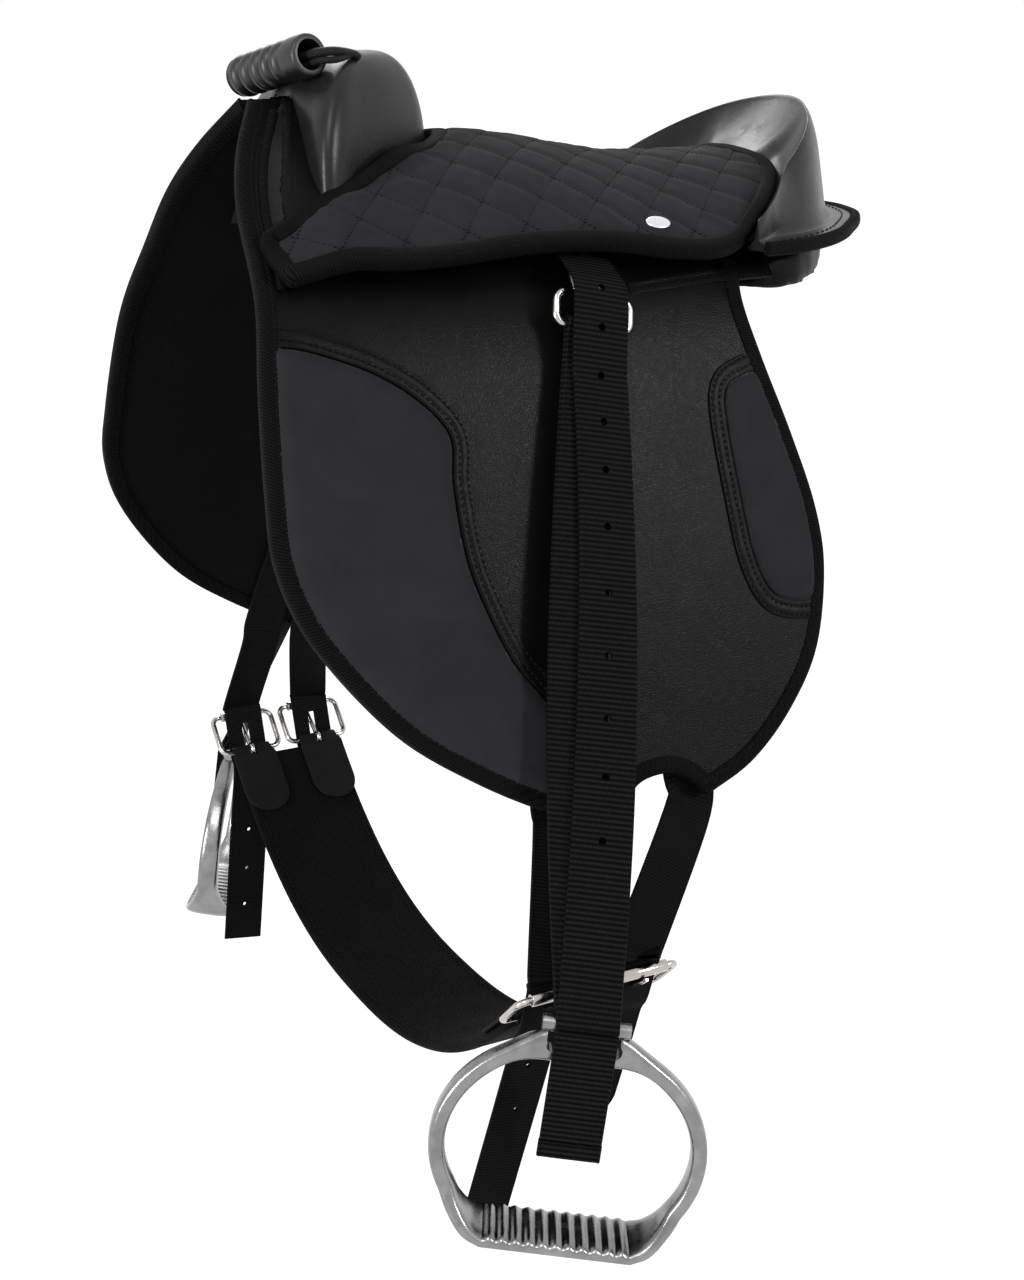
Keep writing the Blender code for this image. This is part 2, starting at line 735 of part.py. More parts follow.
def cantle():
    """A dish: it rises from the pad's rear edge to a rolled rim, falls down its back and ends in a flange."""
    rings = []
    steps = 20
    for i in range(steps + 1):
        angle = CANTLE_SWEEP * (2 * i / steps - 1)
        inner, rim, foot, flange = cantle_radii(angle)
        height = CANTLE_WING_HEIGHT + (CANTLE_RIM_HEIGHT - CANTLE_WING_HEIGHT) * max(0.0, math.cos(angle)) ** 0.95
        low = flange_height(angle)

        def at(radius):
            return Vector((CANTLE_X + radius * math.cos(angle), radius * math.sin(angle), 0))

        start = at(inner)
        pad_level = pad_top(start.x, start.y) - 2 * MM
        pad_level = max(pad_level, low + 1 * MM)
        height = max(height, pad_level + 1 * MM)
        profile = [(inner, pad_level)]
        for share in (0.35, 0.65, 0.87):
            profile.append((inner + (rim - inner) * share, pad_level + (height - pad_level) * share ** 1.35))
        profile.append((rim, height))
        back = foot - rim
        for share, fall in ((0.22, 0.06), (0.5, 0.28), (0.78, 0.66), (1.0, 0.93)):
            profile.append((rim + back * share, height - (height - low) * fall))
        profile.append((foot + (flange - foot) * 0.35, low + 0.3 * MM))
        profile.append((flange, low))
        ring = []
        for radius, z in profile:
            p = at(radius)
            p.z = z
            ring.append(p)
        for radius, _z in reversed(profile):
            p = at(radius)
            p.z = min(cantle_floor(p.x, p.y, angle), _z - 2 * MM)
            ring.append(p)
        rings.append(ring)
    piece("cantle", mesh_from(loft(rings), "cantle"), moulded_leather())
    path = []
    for i in range(25):
        angle = CANTLE_SWEEP * (i / 12 - 1)
        flange = cantle_radii(angle)[3] + CANTLE_BEAD_RADIUS + 1.5 * GAP
        path.append(Vector((CANTLE_X + flange * math.cos(angle), flange * math.sin(angle),
                            flange_height(angle) - CANTLE_FLANGE_THICKNESS / 2)))
    tube("cantle_bead", path, CANTLE_BEAD_RADIUS, leather(), resolution=1)


def flaps():
    for name, side in SIDES:
        outline = flap_outline(GAP)
        lining = LINING_THICKNESS
        skirt_sheet(name + "_flap", outline, -FLAP_THICKNESS, 0, side, leather())
        skirt_sheet(name + "_flap_lining", outline, -FLAP_THICKNESS - GAP - lining, -FLAP_THICKNESS - GAP, side,
                    lining_cloth())
        edge = flap_edge()
        strip = edge + list(reversed(inset(edge, BINDING_WIDTH)))
        skirt_sheet(name + "_flap_binding", strip, -FLAP_THICKNESS - GAP - lining - BINDING_PROUD, BINDING_PROUD,
                    side, binding_tape())
        skirt_sheet(name + "_front_insert", front_insert_outline(), GAP, GAP + INSERT_THICKNESS, side, suede())
        skirt_sheet(name + "_rear_insert", rear_insert_outline(), GAP, GAP + INSERT_THICKNESS, side, suede())
        neck = inset(flap_edge()[:10], BINDING_WIDTH + 1.5 * MM)
        neck_strip = neck + list(reversed(inset(neck, NECK_BINDING_WIDTH)))
        skirt_sheet(name + "_neck_binding", neck_strip, GAP, GAP + BINDING_PROUD + 1 * MM, side, binding_tape())


# Girth, billets and buckles


def girth_line(y):
    """The belt's middle at a distance from the middle plane."""
    return GIRTH_LOW + GIRTH_RISE * (abs(y) / GIRTH_HALF_SPAN) ** GIRTH_POWER


def girth_frame(y):
    """The belt's middle point, its direction outwards and up along the belt, and its upper normal."""
    slope = GIRTH_RISE * GIRTH_POWER / GIRTH_HALF_SPAN * (abs(y) / GIRTH_HALF_SPAN) ** (GIRTH_POWER - 1)
    side = 1 if y >= 0 else -1
    along = Vector((0, side, slope)).normalized()
    normal = Vector((0, -side * slope, 1)).normalized()
    return Vector((GIRTH_X, y, girth_line(y))), along, normal


def girth():
    path, widths, across, outward = [], [], [], []
    steps = 28
    for i in range(steps + 1):
        y = GIRTH_HALF_SPAN * math.sin(math.pi / 2 * (2 * i / steps - 1))
        p, _along, normal = girth_frame(y)
        path.append(p)
        widths.append(GIRTH_WIDTH * (0.9 if i in (0, steps) else 1.0))
        across.append(Vector((1, 0, 0)))
        outward.append(normal)
    piece("girth", mesh_from(ribbon(path, widths, across, outward, GIRTH_THICKNESS), "girth"), webbing())


def buckle_place(side, row):
    """The frame of a girth buckle: the middle of its lower bar, and its along, across and outer directions."""
    end, along, normal = girth_frame(side * GIRTH_HALF_SPAN)
    across = Vector((1, 0, 0))
    clear = BUCKLE_WIRE + 2 * TONGUE_RADIUS + 2 * GAP
    return end + across * (row * BUCKLE_PITCH / 2) + along * clear, along, across, -normal


def rounded_frame(place, along, across, width, height):
    """The four rounded sides of a buckle's wire frame, from the middle of its lower bar."""
    corner = 5 * MM
    half = width / 2
    points = []
    for cx, cy, start in ((half - corner, corner, -90), (half - corner, height - corner, 0),
                          (-half + corner, height - corner, 90), (-half + corner, corner, 180)):
        for k in range(3):
            a = math.radians(start + 45 * k)
            points.append(place + across * (cx + corner * math.cos(a)) + along * (cy + corner * math.sin(a)))
    return points


def tongue_mesh(place, along, outer, reach, lift, bar_radius):
    """A ring round the bar and a pin that ends on the far bar."""
    ring = bmesh.new()
    major = bar_radius + GAP / 2 + TONGUE_RADIUS
    rows = []
    side_axis = along.cross(outer)
    for i in range(10):
        a = 2 * math.pi * i / 10
        radial = along * math.cos(a) + outer * math.sin(a)
        row = []
        for k in range(6):
            b = 2 * math.pi * k / 6
            row.append(place + radial * (major + TONGUE_RADIUS * math.cos(b)) + side_axis * TONGUE_RADIUS * math.sin(b))
        rows.append(row)
    ring = loft(rows, closed=False)
    ring_mesh = mesh_from(ring, "tongue_ring")
    start = place + along * major
    end = place + along * reach + outer * lift
    return ring_mesh, rod_mesh(start, end, TONGUE_RADIUS, 8)


def buckle(name, place, along, across, outer, width, height):
    """Frame, roller on the upper bar and tongue on the lower bar."""
    tube(name + "_frame", rounded_frame(place, along, across, width, height), BUCKLE_WIRE, nickel(), cyclic=True)
    bar = place + along * height
    half = width / 2 - 6.5 * MM
    inner = BUCKLE_WIRE + GAP / 2
    rows = []
    for end in (-half, half):
        for radius in ((inner, ROLLER_RADIUS) if end < 0 else (ROLLER_RADIUS, inner)):
            rows.append([bar + across * end + (along * math.cos(a) + outer * math.sin(a)) * radius
                         for a in (2 * math.pi * k / 12 for k in range(12))])
    roller = piece(name + "_roller", mesh_from(loft(rows, closed=False), name + "_roller"), nickel())
    roller.data.transform(Matrix.Translation(-bar))
    roller.location = bar
    lift = ROLLER_RADIUS + TONGUE_RADIUS + 2 * GAP
    ring_mesh, pin_mesh = tongue_mesh(place, along, outer, height + 2 * MM, lift, BUCKLE_WIRE)
    for mesh in (ring_mesh, pin_mesh):
        mesh.transform(Matrix.Translation(-place))
    tongue = piece(name + "_tongue", ring_mesh, nickel())
    tongue.location = place
    pin = cutter(name + "_tongue_pin", pin_mesh)
    pin.location = place
    boolean(tongue, pin, "UNION")


def billet_points(side, row):
    """From under the seat, down inside the flap, through the buckle and over its lower bar."""
    place, along, across, outer = buckle_place(side, row)
    inside = -(FLAP_THICKNESS + LINING_THICKNESS + BINDING_PROUD + 2.2 * GAP + BILLET_THICKNESS / 2)
    top_x, foot_x = {(NEAR, -1): (-60, GIRTH_X / MM - 10), (NEAR, 1): (-4, GIRTH_X / MM + 76),
                     (OFF, -1): (-60, GIRTH_X / MM - 20), (OFF, 1): (-8, GIRTH_X / MM + 14)}[(side, row)]
    edge = TREE_HALF_WIDTH + 5 * GAP + BILLET_THICKNESS / 2
    level = tree_top(top_x * MM, TREE_HALF_WIDTH) - TREE_THICKNESS / 2
    points = [Vector((top_x * MM, side * edge, level)), Vector((top_x * MM, side * (edge + 1.4 * MM), level - 6 * MM)),
              skirt(top_x * MM, 3 * MM, inside - 2 * MM, side)]
    for z, share in ((-14, 0.0), (-30, 0.02), (-60, 0.06), (-110, 0.25), (-150, 0.5), (-205, 0.8), (-248, 1.0), (-266, 1.03)):
        x = (top_x + (foot_x - top_x) * share) * MM
        points.append(skirt(x, z * MM, inside, side))
    lift = ROLLER_RADIUS + BILLET_THICKNESS / 2 + 9 * GAP
    points.append(place + along * (BUCKLE_HEIGHT + 4 * MM) - outer * (lift + 3.5 * MM))
    points.append(place + along * BUCKLE_HEIGHT - outer * lift)
    over = BUCKLE_WIRE + 2 * TONGUE_RADIUS + BILLET_THICKNESS / 2 + 3 * GAP
    points.append(place + along * 1 * MM + outer * over)
    return points, (place, along, across, outer, over)


def billets():
    """Webbing straps from the tree to the girth's buckles, with a free tail outside the belt."""
    for name, side in SIDES:
        for label, row in (("front", -1), ("rear", 1)):
            points, (place, along, x_axis, outer, over) = billet_points(side, row)
            lean = Vector((-0.22 if side == NEAR else -0.15, -0.12 * side, -1)).normalized()
            tail_length = (118 if label == "front" else 60) * MM
            elbow = points[-1] - along * 9 * MM + outer * 1.5 * MM + lean * 3 * MM
            points += [elbow + lean * (tail_length * share) for share in (0.0, 0.35, 0.7, 1.0)]
            path = smooth_path(points, 2)
            across, outward, widths = [], [], []
            for i, p in enumerate(path):
                tangent = (path[min(len(path) - 1, i + 1)] - path[max(0, i - 1)]).normalized()
                flat = (Vector((1, 0, 0)) - tangent * tangent.x).normalized()
                across.append(flat)
                outward.append(tangent.cross(flat).normalized())
                widths.append(BILLET_WIDTH)
            widths[-1] = BILLET_WIDTH * 0.35
            mesh = mesh_from(ribbon(path, widths, across, outward, BILLET_THICKNESS), name + "_billet")
            billet = piece(f"{name}_{label}_billet", mesh, webbing())
            hole = block(place + along * 11 * MM, (x_axis, along, outer), (2 * TONGUE_RADIUS + 2 * MM, 17 * MM, 16 * MM))
            boolean(billet, cutter(f"{name}_{label}_billet_hole", hole))


def chapes():
    """Leather patches on the belt's inner face that fold round the buckles' lower bars."""
    for name, side in SIDES:
        for label, row in (("front", -1), ("rear", 1)):
            place, bar_along, x_axis, outer = buckle_place(side, row)
            path, widths, across, outward = [], [], [], []
            steps = 7
            for i in range(steps + 1):
                share = 1 - i / steps
                y = side * (GIRTH_HALF_SPAN - CHAPE_LENGTH * 0.72 * share)
                p, _along, normal = girth_frame(y)
                lift = GIRTH_THICKNESS / 2 + 1.6 * GAP + CHAPE_THICKNESS / 2
                path.append(p + x_axis * (row * BUCKLE_PITCH / 2) + normal * lift)
                rounded = 1.0 if share < 0.72 else math.sqrt(max(0.0, 1 - ((share - 0.72) / 0.30) ** 2))
                widths.append(CHAPE_WIDTH * max(0.3, rounded))
                outward.append(normal)
            wrap = BUCKLE_WIRE + GAP + CHAPE_THICKNESS / 2
            for k in range(7):
                a = math.radians(90 - 30 * k)
                radial = bar_along * math.cos(a) - outer * math.sin(a)
                path.append(place + radial * wrap)
                widths.append(CHAPE_WIDTH * 0.84)
                outward.append(radial)
            across = [x_axis] * len(path)
            mesh = mesh_from(ribbon(path, widths, across, outward, CHAPE_THICKNESS), name + "_chape")
            chape = piece(f"{name}_{label}_chape", mesh, leather())
            window = block(place, (x_axis, bar_along, outer), (2 * TONGUE_RADIUS + 2 * MM, 2 * clear_of_bar(), 16 * MM))
            boolean(chape, cutter(f"{name}_{label}_chape_slot", window))


def clear_of_bar():
    """How far a tongue's ring reaches from the middle of its bar, with room to turn."""
    return BUCKLE_WIRE + 2 * TONGUE_RADIUS + 1.5 * GAP


def girth_buckles():
    for name, side in SIDES:
        for label, row in (("front", -1), ("rear", 1)):
            place, along, across, outer = buckle_place(side, row)
            buckle(f"{name}_{label}_buckle", place, along, across, outer, BUCKLE_WIDTH, BUCKLE_HEIGHT)


# Stirrups

EYES = {NEAR: Vector((GIRTH_X - NEAR_EYE_FORWARD, -GIRTH_HALF_SPAN - NEAR_EYE_CLEARANCE, NEAR_EYE_HEIGHT)),
        OFF: Vector((GIRTH_X - OFF_EYE_FORWARD, GIRTH_HALF_SPAN + OFF_EYE_CLEARANCE, OFF_EYE_HEIGHT))}


def iron_axes(side):
    """Width, outer and down directions of a stirrup iron at rest."""
    down = Vector((-IRON_LEAN, 0, -1)).normalized()
    turn = NEAR_TWIST if side == NEAR else OFF_TWIST
    flat = Vector((math.cos(turn), side * math.sin(turn), 0))
    across = (flat - down * flat.dot(down)).normalized()
    outer = across.cross(down).normalized()
    if outer.y * side < 0:
        outer = -outer
    return across, outer, down


def strap_frame(side, share):
    """Middle of the strap, its direction down, its width direction and its outer normal."""
    head = Vector((HANGER_X, side * HANGER_Y, HANGER_Z))
    down = (EYES[side] - head).normalized()
    flat = (Vector((1, 0, 0)) - down * down.x).normalized()
    first = 0.1 if side == NEAR else 0.55
    blend = max(0.0, min(1.0, (share - first) / (0.95 - first)))
    blend = blend * blend * (3 - 2 * blend)
    across = flat.lerp(iron_axes(side)[0], blend).normalized()
    normal = down.cross(across).normalized()
    if normal.y * side < 0:
        normal = -normal
    return head.lerp(EYES[side], share), down, across, normal


def strap_start(side):
    head = Vector((HANGER_X, side * HANGER_Y, HANGER_Z))
    return RING_LENGTH / (EYES[side] - head).length


def stirrup_straps():
    """A band looped through the ring and the iron, an outer ply sewn on it, and the ply's free tail."""
    pitch = STRAP_THICKNESS + PLY_GAP
    low_loop = EYE_BAR_RADIUS + GAP + STRAP_THICKNESS / 2
    high_loop = HANGER_WIRE + GAP + STRAP_THICKNESS / 2
    for name, side in SIDES:
        start = strap_start(side)
        bow = STRAP_BOW if side == NEAR else 0.1 * STRAP_BOW
        shares = [start + (0.93 - start) * (i + 0.4) / 12.4 for i in range(13)]
        path, across, outward = [], [], []

        def run(share, out, sideways):
            middle, _down, flat, normal = strap_frame(side, share)
            bend = (share - start) * (1 - share) * 4
            path.append(middle + normal * out - flat * sideways * bend)
            across.append(flat)
            outward.append(normal)

        def wrap(share, radius, first, last, steps):
            middle, down, flat, normal = strap_frame(side, share)
            down = (down - flat * down.dot(flat)).normalized()
            for k in range(steps + 1):
                a = math.radians(first + (last - first) * k / steps)
                radial = normal * math.cos(a) + down * math.sin(a)
                path.append(middle + radial * radius)
                across.append(flat)
                outward.append(radial)

        for share in shares:
            run(share, -pitch / 2, bow)
        wrap(1.0, low_loop, 180, 0, 9)
        for share in reversed(shares):
            run(share, pitch / 2, bow)
        wrap(start, high_loop, 0, -180, 7)
        for i in range(13):
            outward[i] = -outward[i]
        band = []
        for p, a, n in zip(path, across, outward):
            a = a * (STRAP_WIDTH / 2)
            n = n * (STRAP_THICKNESS / 2)
            band.append([p - a - n, p + a - n, p + a + n, p - a + n])
        piece(name + "_stirrup_strap", mesh_from(triangulated(loft(band, closed=False)), name + "_strap"), webbing())

        path, across, outward = [], [], []
        for share in [start + 0.006] + shares[1:]:
            run(share, 1.5 * pitch + GAP + (high_loop if share < start + 0.02 else 0), 0)
        outer_out = low_loop + STRAP_THICKNESS + PLY_GAP
        flat, normal, down = iron_axes(side)
        eye = EYES[side]
        high = (normal + strap_frame(side, 1.0)[3]).normalized()
        path.append(eye + high * outer_out)
        across.append(flat)
        outward.append(high)
        strip = ribbon(path, [STRAP_WIDTH] * len(path), across, outward, STRAP_THICKNESS)
        mesh = mesh_from(triangulated(strip), name + "_ply")
        ply = piece(name + "_strap_outer_ply", mesh, webbing())
        for i in range(8):
            middle, run_down, run_flat, run_normal = strap_frame(side, 0.13 + 0.085 * i)
            reach = run_normal * 8 * MM
            boolean(ply, cutter(f"{name}_strap_hole_{i}", rod_mesh(middle - reach, middle + reach, STRAP_HOLE_RADIUS, 8)))

        top = eye + normal * outer_out + down * GAP
        path = [top + down * (TAIL_LENGTH * i / 4) for i in range(5)]
        mesh = mesh_from(ribbon(path, [STRAP_WIDTH] * 5, [flat] * 5, [normal] * 5, STRAP_THICKNESS), name + "_tail")
        mesh.transform(Matrix.Translation(-top))
        tail = piece(name + "_strap_tail", mesh, webbing())
        tail.location = top


def iron_outline():
    """Half of the iron's centre line with its section: across, down, thickness and depth."""
    half = IRON_WIDTH / 2 - IRON_ARM_WIDTH / 2
    crown = EYE_BAR_RADIUS + SLOT_HEIGHT / 2
    tall = 0.54 * (IRON_TREAD_DROP - crown)
    rows = []
    for i in range(13):
        a = math.radians(118) * i / 12
        slim = max(0.0, 1 - a / 0.62)
        thick = IRON_ARM_WIDTH + 2 * IRON_BAND * slim * slim * (3 - 2 * slim)
        rows.append((half * math.sin(a), crown + tall * (1 - math.cos(a)), thick, IRON_ARM_DEPTH * (1 + 0.25 * a)))
    foot = TREAD_LENGTH / 2
    rows.append((foot + 7 * MM, IRON_TREAD_DROP - 12 * MM, IRON_ARM_WIDTH, 0.62 * TREAD_DEPTH))
    rows.append((foot, IRON_TREAD_DROP - 3.5 * MM, TREAD_THICKNESS + 1 * MM, 0.86 * TREAD_DEPTH))
    rows.append((0.82 * foot, IRON_TREAD_DROP, TREAD_THICKNESS, TREAD_DEPTH))
    rows.append((0.25 * foot, IRON_TREAD_DROP, TREAD_THICKNESS, TREAD_DEPTH))
    return rows


def rounded_power(value, power=0.6):
    return math.copysign(abs(value) ** power, value)


def stirrup_irons():
    """An arched frame with a strap slot under a round eye bar, and a ribbed tread across its foot."""
    half = iron_outline()
    rows = [(-x, y, thick, deep) for x, y, thick, deep in reversed(half)][:-1] + half
    for name, side in SIDES:
        across, outer, down = iron_axes(side)
        eye = EYES[side]
        axes = (across, outer, down)
        rings = []
        for i, (x, y, thick, deep) in enumerate(rows):
            before, after = rows[i - 1], rows[(i + 1) % len(rows)]
            run = Vector((after[0] - before[0], after[1] - before[1])).normalized()
            radial = across * -run.y + down * run.x
            p = eye + across * x + down * y
            ring = []
            for k in range(12):
                b = 2 * math.pi * (k + 0.5) / 12
                ring.append(p + radial * thick / 2 * rounded_power(math.cos(b))
                            + outer * deep / 2 * rounded_power(math.sin(b)))
            rings.append(ring)
        mesh = mesh_from(loft(rings, closed=False), name + "_iron")
        body = piece(name + "_stirrup_iron", mesh, cast_aluminium())
        for i in range(TREAD_RIBS):
            place = (i - (TREAD_RIBS - 1) / 2) * TREAD_LENGTH * 0.8 / TREAD_RIBS
            base = eye + down * (IRON_TREAD_DROP - TREAD_THICKNESS / 2) + across * place
            rib = rod_mesh(base - outer * TREAD_DEPTH * 0.46, base + outer * TREAD_DEPTH * 0.46, TREAD_RIB_HEIGHT, 6)
            boolean(body, cutter(f"{name}_tread_rib_{i}", rib), "UNION")
        reach = EYE_BAR_RADIUS + SLOT_HEIGHT
        slot = block(eye + down * (reach / 2 - 10 * MM), axes, (SLOT_LENGTH, 40 * MM, reach + 20 * MM))
        boolean(body, cutter(name + "_slot", slot))
        reach = across * (SLOT_LENGTH / 2 + 3 * MM)
        boolean(body, cutter(name + "_eye_bar", rod_mesh(eye - reach, eye + reach, EYE_BAR_RADIUS, 16)), "UNION")
        shift_to(body, eye)


def shift_to(obj, place):
    """Bakes the modifiers and puts the object's origin on a joint's axis."""
    mesh = evaluated_mesh(obj)
    mesh.transform(Matrix.Translation(-place))
    obj.modifiers.clear()
    obj.data = mesh
    obj.location = place


def hanger_bar(side):
    """Middle of the hanger's cross wire, just under the ring's upper bar."""
    return Vector((HANGER_X, side * (HANGER_Y - 1.5 * MM), HANGER_Z - 2 * HANGER_WIRE - 2.1 * MM))


def hangers():
    """A steel loop riveted under the tree on each side, and the ring that swings in it."""
    for name, side in SIDES:
        head, down, flat, _normal = strap_frame(side, 0.0)
        ring = rounded_frame(head + down * RING_LENGTH, -down, flat, STRAP_WIDTH + 11 * MM, RING_LENGTH)
        tube(name + "_strap_ring", ring, HANGER_WIRE, nickel(), cyclic=True)
        level = tree_top(HANGER_X, TREE_HALF_WIDTH) - TREE_THICKNESS / 2
        cross = hanger_bar(side)
        half = flat * HANGER_HALF_WIDTH
        arms = [(TREE_HALF_WIDTH + HANGER_WIRE + GAP, level), (TREE_HALF_WIDTH + 16 * MM, level - 9 * MM),
                (HANGER_Y - 13 * MM, HANGER_Z + 14 * MM), (HANGER_Y - 6.5 * MM, HANGER_Z + 3 * MM)]
        path = [Vector((HANGER_X - HANGER_HALF_WIDTH, side * y, z)) for y, z in arms]
        path += [cross - half, cross + half]
        path += [Vector((HANGER_X + HANGER_HALF_WIDTH, side * y, z)) for y, z in reversed(arms)]
        tube(name + "_hanger", path, HANGER_WIRE, nickel())


# The handle over the pommel

SLEEVE_MIDDLE = Vector((-155 * MM, 0 * MM, 91 * MM))
SLEEVE_AXIS = Vector((0.23, -0.955, 0.18)).normalized()


def grab_handle():
    """A cord anchored in each side of the pommel, threaded through a ribbed rubber sleeve."""
    half = SLEEVE_LENGTH / 2
    near_end = SLEEVE_MIDDLE + SLEEVE_AXIS * (half + 5 * MM)
    off_end = SLEEVE_MIDDLE - SLEEVE_AXIS * (half + 9 * MM)
    near = Vector((HANDLE_X, -HANDLE_Y, HANDLE_Z))
    off = Vector((HANDLE_X, HANDLE_Y, HANDLE_Z))
    rise = Vector((-1.5 * MM, 0, 5.5 * MM))
    points = smooth_path([near, near + rise, near.lerp(near_end, 0.6) + Vector((0, -5 * MM, 5 * MM)), near_end], 3)
    points += smooth_path([off_end, off.lerp(off_end, 0.5) + Vector((0, 9 * MM, 5 * MM)), off + rise, off], 3)
    tube("handle_cord", points, CORD_RADIUS, braided_cord(), resolution=1)
    u = SLEEVE_AXIS.cross(Vector((0, 0, 1))).normalized()
    v = SLEEVE_AXIS.cross(u)
    profile = [(-half, SLEEVE_BORE), (-half, SLEEVE_RADIUS - 1 * MM)]
    for i in range(SLEEVE_RIBS):
        low = -half + 2 * MM + i * 9 * MM
        profile += [(low, SLEEVE_RADIUS), (low + 6.2 * MM, SLEEVE_RADIUS), (low + 7 * MM, SLEEVE_RADIUS - 1.6 * MM),
                    (low + 8.2 * MM, SLEEVE_RADIUS - 1.6 * MM)]
    profile += [(half - 15 * MM, SLEEVE_RADIUS), (half - 1 * MM, SLEEVE_RADIUS), (half, SLEEVE_RADIUS - 1 * MM),
                (half, SLEEVE_BORE)]
    rings = [[SLEEVE_AXIS * place + (u * math.cos(a) + v * math.sin(a)) * radius
              for a in (2 * math.pi * k / 16 for k in range(16))] for place, radius in profile]
    sleeve = piece("handle_sleeve", mesh_from(loft(rings, closed=False), "handle_sleeve"), sleeve_rubber())
    sleeve.location = SLEEVE_MIDDLE


def badges():
    """A small bare oval disc on the pad's edge on each side."""
    for name, side in SIDES:
        x, y = 12 * MM, side * 96 * MM
        place = Vector((x, y, pad_top(x, y) + 2.3 * MM))
        bm = bmesh.new()
        bmesh.ops.create_cone(bm, cap_ends=True, segments=16, radius1=BADGE_RADIUS, radius2=BADGE_RADIUS,
                              depth=BADGE_THICKNESS)
        bm.transform(Matrix.Translation(place) @ Matrix.Rotation(-side * math.radians(32), 4, "X")
                     @ Matrix.Diagonal((1.0, 0.7, 1.0, 1.0)))
        piece(name + "_badge", mesh_from(bm, name + "_badge"), blank_metal())


seat_pad()
tree()
head_plate()
panels()
pommel()
pommel_flanges()
cantle()
flaps()
girth()
billets()
chapes()
girth_buckles()
stirrup_straps()
stirrup_irons()
hangers()
grab_handle()
badges()
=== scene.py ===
"""Pony saddle with stirrups, girth and grab handle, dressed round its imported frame."""
import math

import bmesh
import bpy
from mathutils import Matrix, Vector, kdtree, noise


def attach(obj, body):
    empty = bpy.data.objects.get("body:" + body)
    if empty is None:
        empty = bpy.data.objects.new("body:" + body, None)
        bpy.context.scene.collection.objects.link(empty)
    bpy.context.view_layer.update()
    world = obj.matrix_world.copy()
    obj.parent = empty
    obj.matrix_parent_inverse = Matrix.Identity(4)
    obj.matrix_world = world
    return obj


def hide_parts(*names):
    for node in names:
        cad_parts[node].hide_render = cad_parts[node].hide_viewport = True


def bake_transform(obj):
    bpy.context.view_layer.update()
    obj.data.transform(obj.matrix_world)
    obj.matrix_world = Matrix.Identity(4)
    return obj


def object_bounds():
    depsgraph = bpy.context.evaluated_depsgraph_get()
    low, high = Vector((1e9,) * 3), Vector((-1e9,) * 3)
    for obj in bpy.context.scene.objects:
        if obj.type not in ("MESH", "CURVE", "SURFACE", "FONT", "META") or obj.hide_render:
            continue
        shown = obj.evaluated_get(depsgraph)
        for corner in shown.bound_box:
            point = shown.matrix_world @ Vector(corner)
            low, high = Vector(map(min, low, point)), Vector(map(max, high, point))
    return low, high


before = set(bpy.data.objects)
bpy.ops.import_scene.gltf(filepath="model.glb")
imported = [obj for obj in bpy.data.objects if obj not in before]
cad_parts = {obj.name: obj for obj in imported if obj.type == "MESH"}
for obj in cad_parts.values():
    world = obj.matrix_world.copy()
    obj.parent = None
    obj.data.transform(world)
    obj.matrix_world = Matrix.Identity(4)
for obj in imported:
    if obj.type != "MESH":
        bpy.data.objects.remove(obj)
cad_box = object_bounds()
MM = 0.001
SIDES = (("near", -1), ("off", 1))


# Camera
# Stands before the near shoulder, a little above the seat, and looks down over the whole saddle.
CAMERA_PLACE, CAMERA_TURN, CAMERA_DIP = (-0.495, -0.886, 0.094), math.radians(28.15), math.radians(17.86)


def linked(name, data):
    """Puts a new object in the scene."""
    obj = bpy.data.objects.new(name, data)
    bpy.context.scene.collection.objects.link(obj)
    return obj


def look_along(obj, direction):
    obj.rotation_euler = direction.to_track_quat("-Z", "Y").to_euler()


camera = linked("camera", bpy.data.cameras.new("camera"))
bpy.context.scene.camera = camera
camera.data.sensor_fit, camera.data.sensor_width, camera.data.lens = "HORIZONTAL", 28.8, 50.625
camera.data.clip_start = 0.01
camera.location = CAMERA_PLACE
look_along(camera, Vector((math.sin(CAMERA_TURN) * math.cos(CAMERA_DIP),
                           math.cos(CAMERA_TURN) * math.cos(CAMERA_DIP), -math.sin(CAMERA_DIP))))


# Handle cord
# Two strands of braided polyester cord. Each leaves an anchor hole in the pommel, runs through the
# rubber sleeve and goes back into the pommel on the other side.
HANDLE_ANCHOR = Vector((-121, 26, 95)) * MM
SLEEVE_MIDDLE = Vector((-155, 0, 91)) * MM
SLEEVE_AXIS = Vector((0.23, -0.955, 0.18)).normalized()
SLEEVE_LENGTH = 62 * MM
CORD_DIAMETER, STRAND_DIAMETER, CORD_STEP = 4.4 * MM, 3.4 * MM, 2 * MM


def through(points, steps=8):
    """A smooth curve through points."""
    points = [Vector(p) for p in points]
    count = len(points)
    path = []
    for i in range(count - 1):
        b, c = points[i], points[i + 1]
        a = points[i - 1] if i > 0 else b * 2 - c
        d = points[i + 2] if i + 2 < count else c * 2 - b
        for k in range(steps):
            t = k / steps
            path.append(((b * 2) + (c - a) * t + (a * 2 - b * 5 + c * 4 - d) * t * t
                         + (b * 3 - a - c * 3 + d) * t ** 3) / 2)
    return path + [points[-1]]


def evenly(rows, step, closed=False):
    """Rows of vectors, the first of each its place, spread evenly along their path."""
    rows = [[Vector(v) for v in row] for row in rows]
    if closed:
        rows.append(rows[0])
    reach = [0.0]
    for a, b in zip(rows, rows[1:]):
        reach.append(reach[-1] + (b[0] - a[0]).length)
    count = max(2, round(reach[-1] / step))
    spread_out, k = [], 0
    for i in range(count if closed else count + 1):
        s = reach[-1] * i / count
        while k < len(reach) - 2 and reach[k + 1] < s:
            k += 1
        t = (s - reach[k]) / max(1e-9, reach[k + 1] - reach[k])
        spread_out.append([a.lerp(b, t) for a, b in zip(rows[k], rows[k + 1])])
    return spread_out


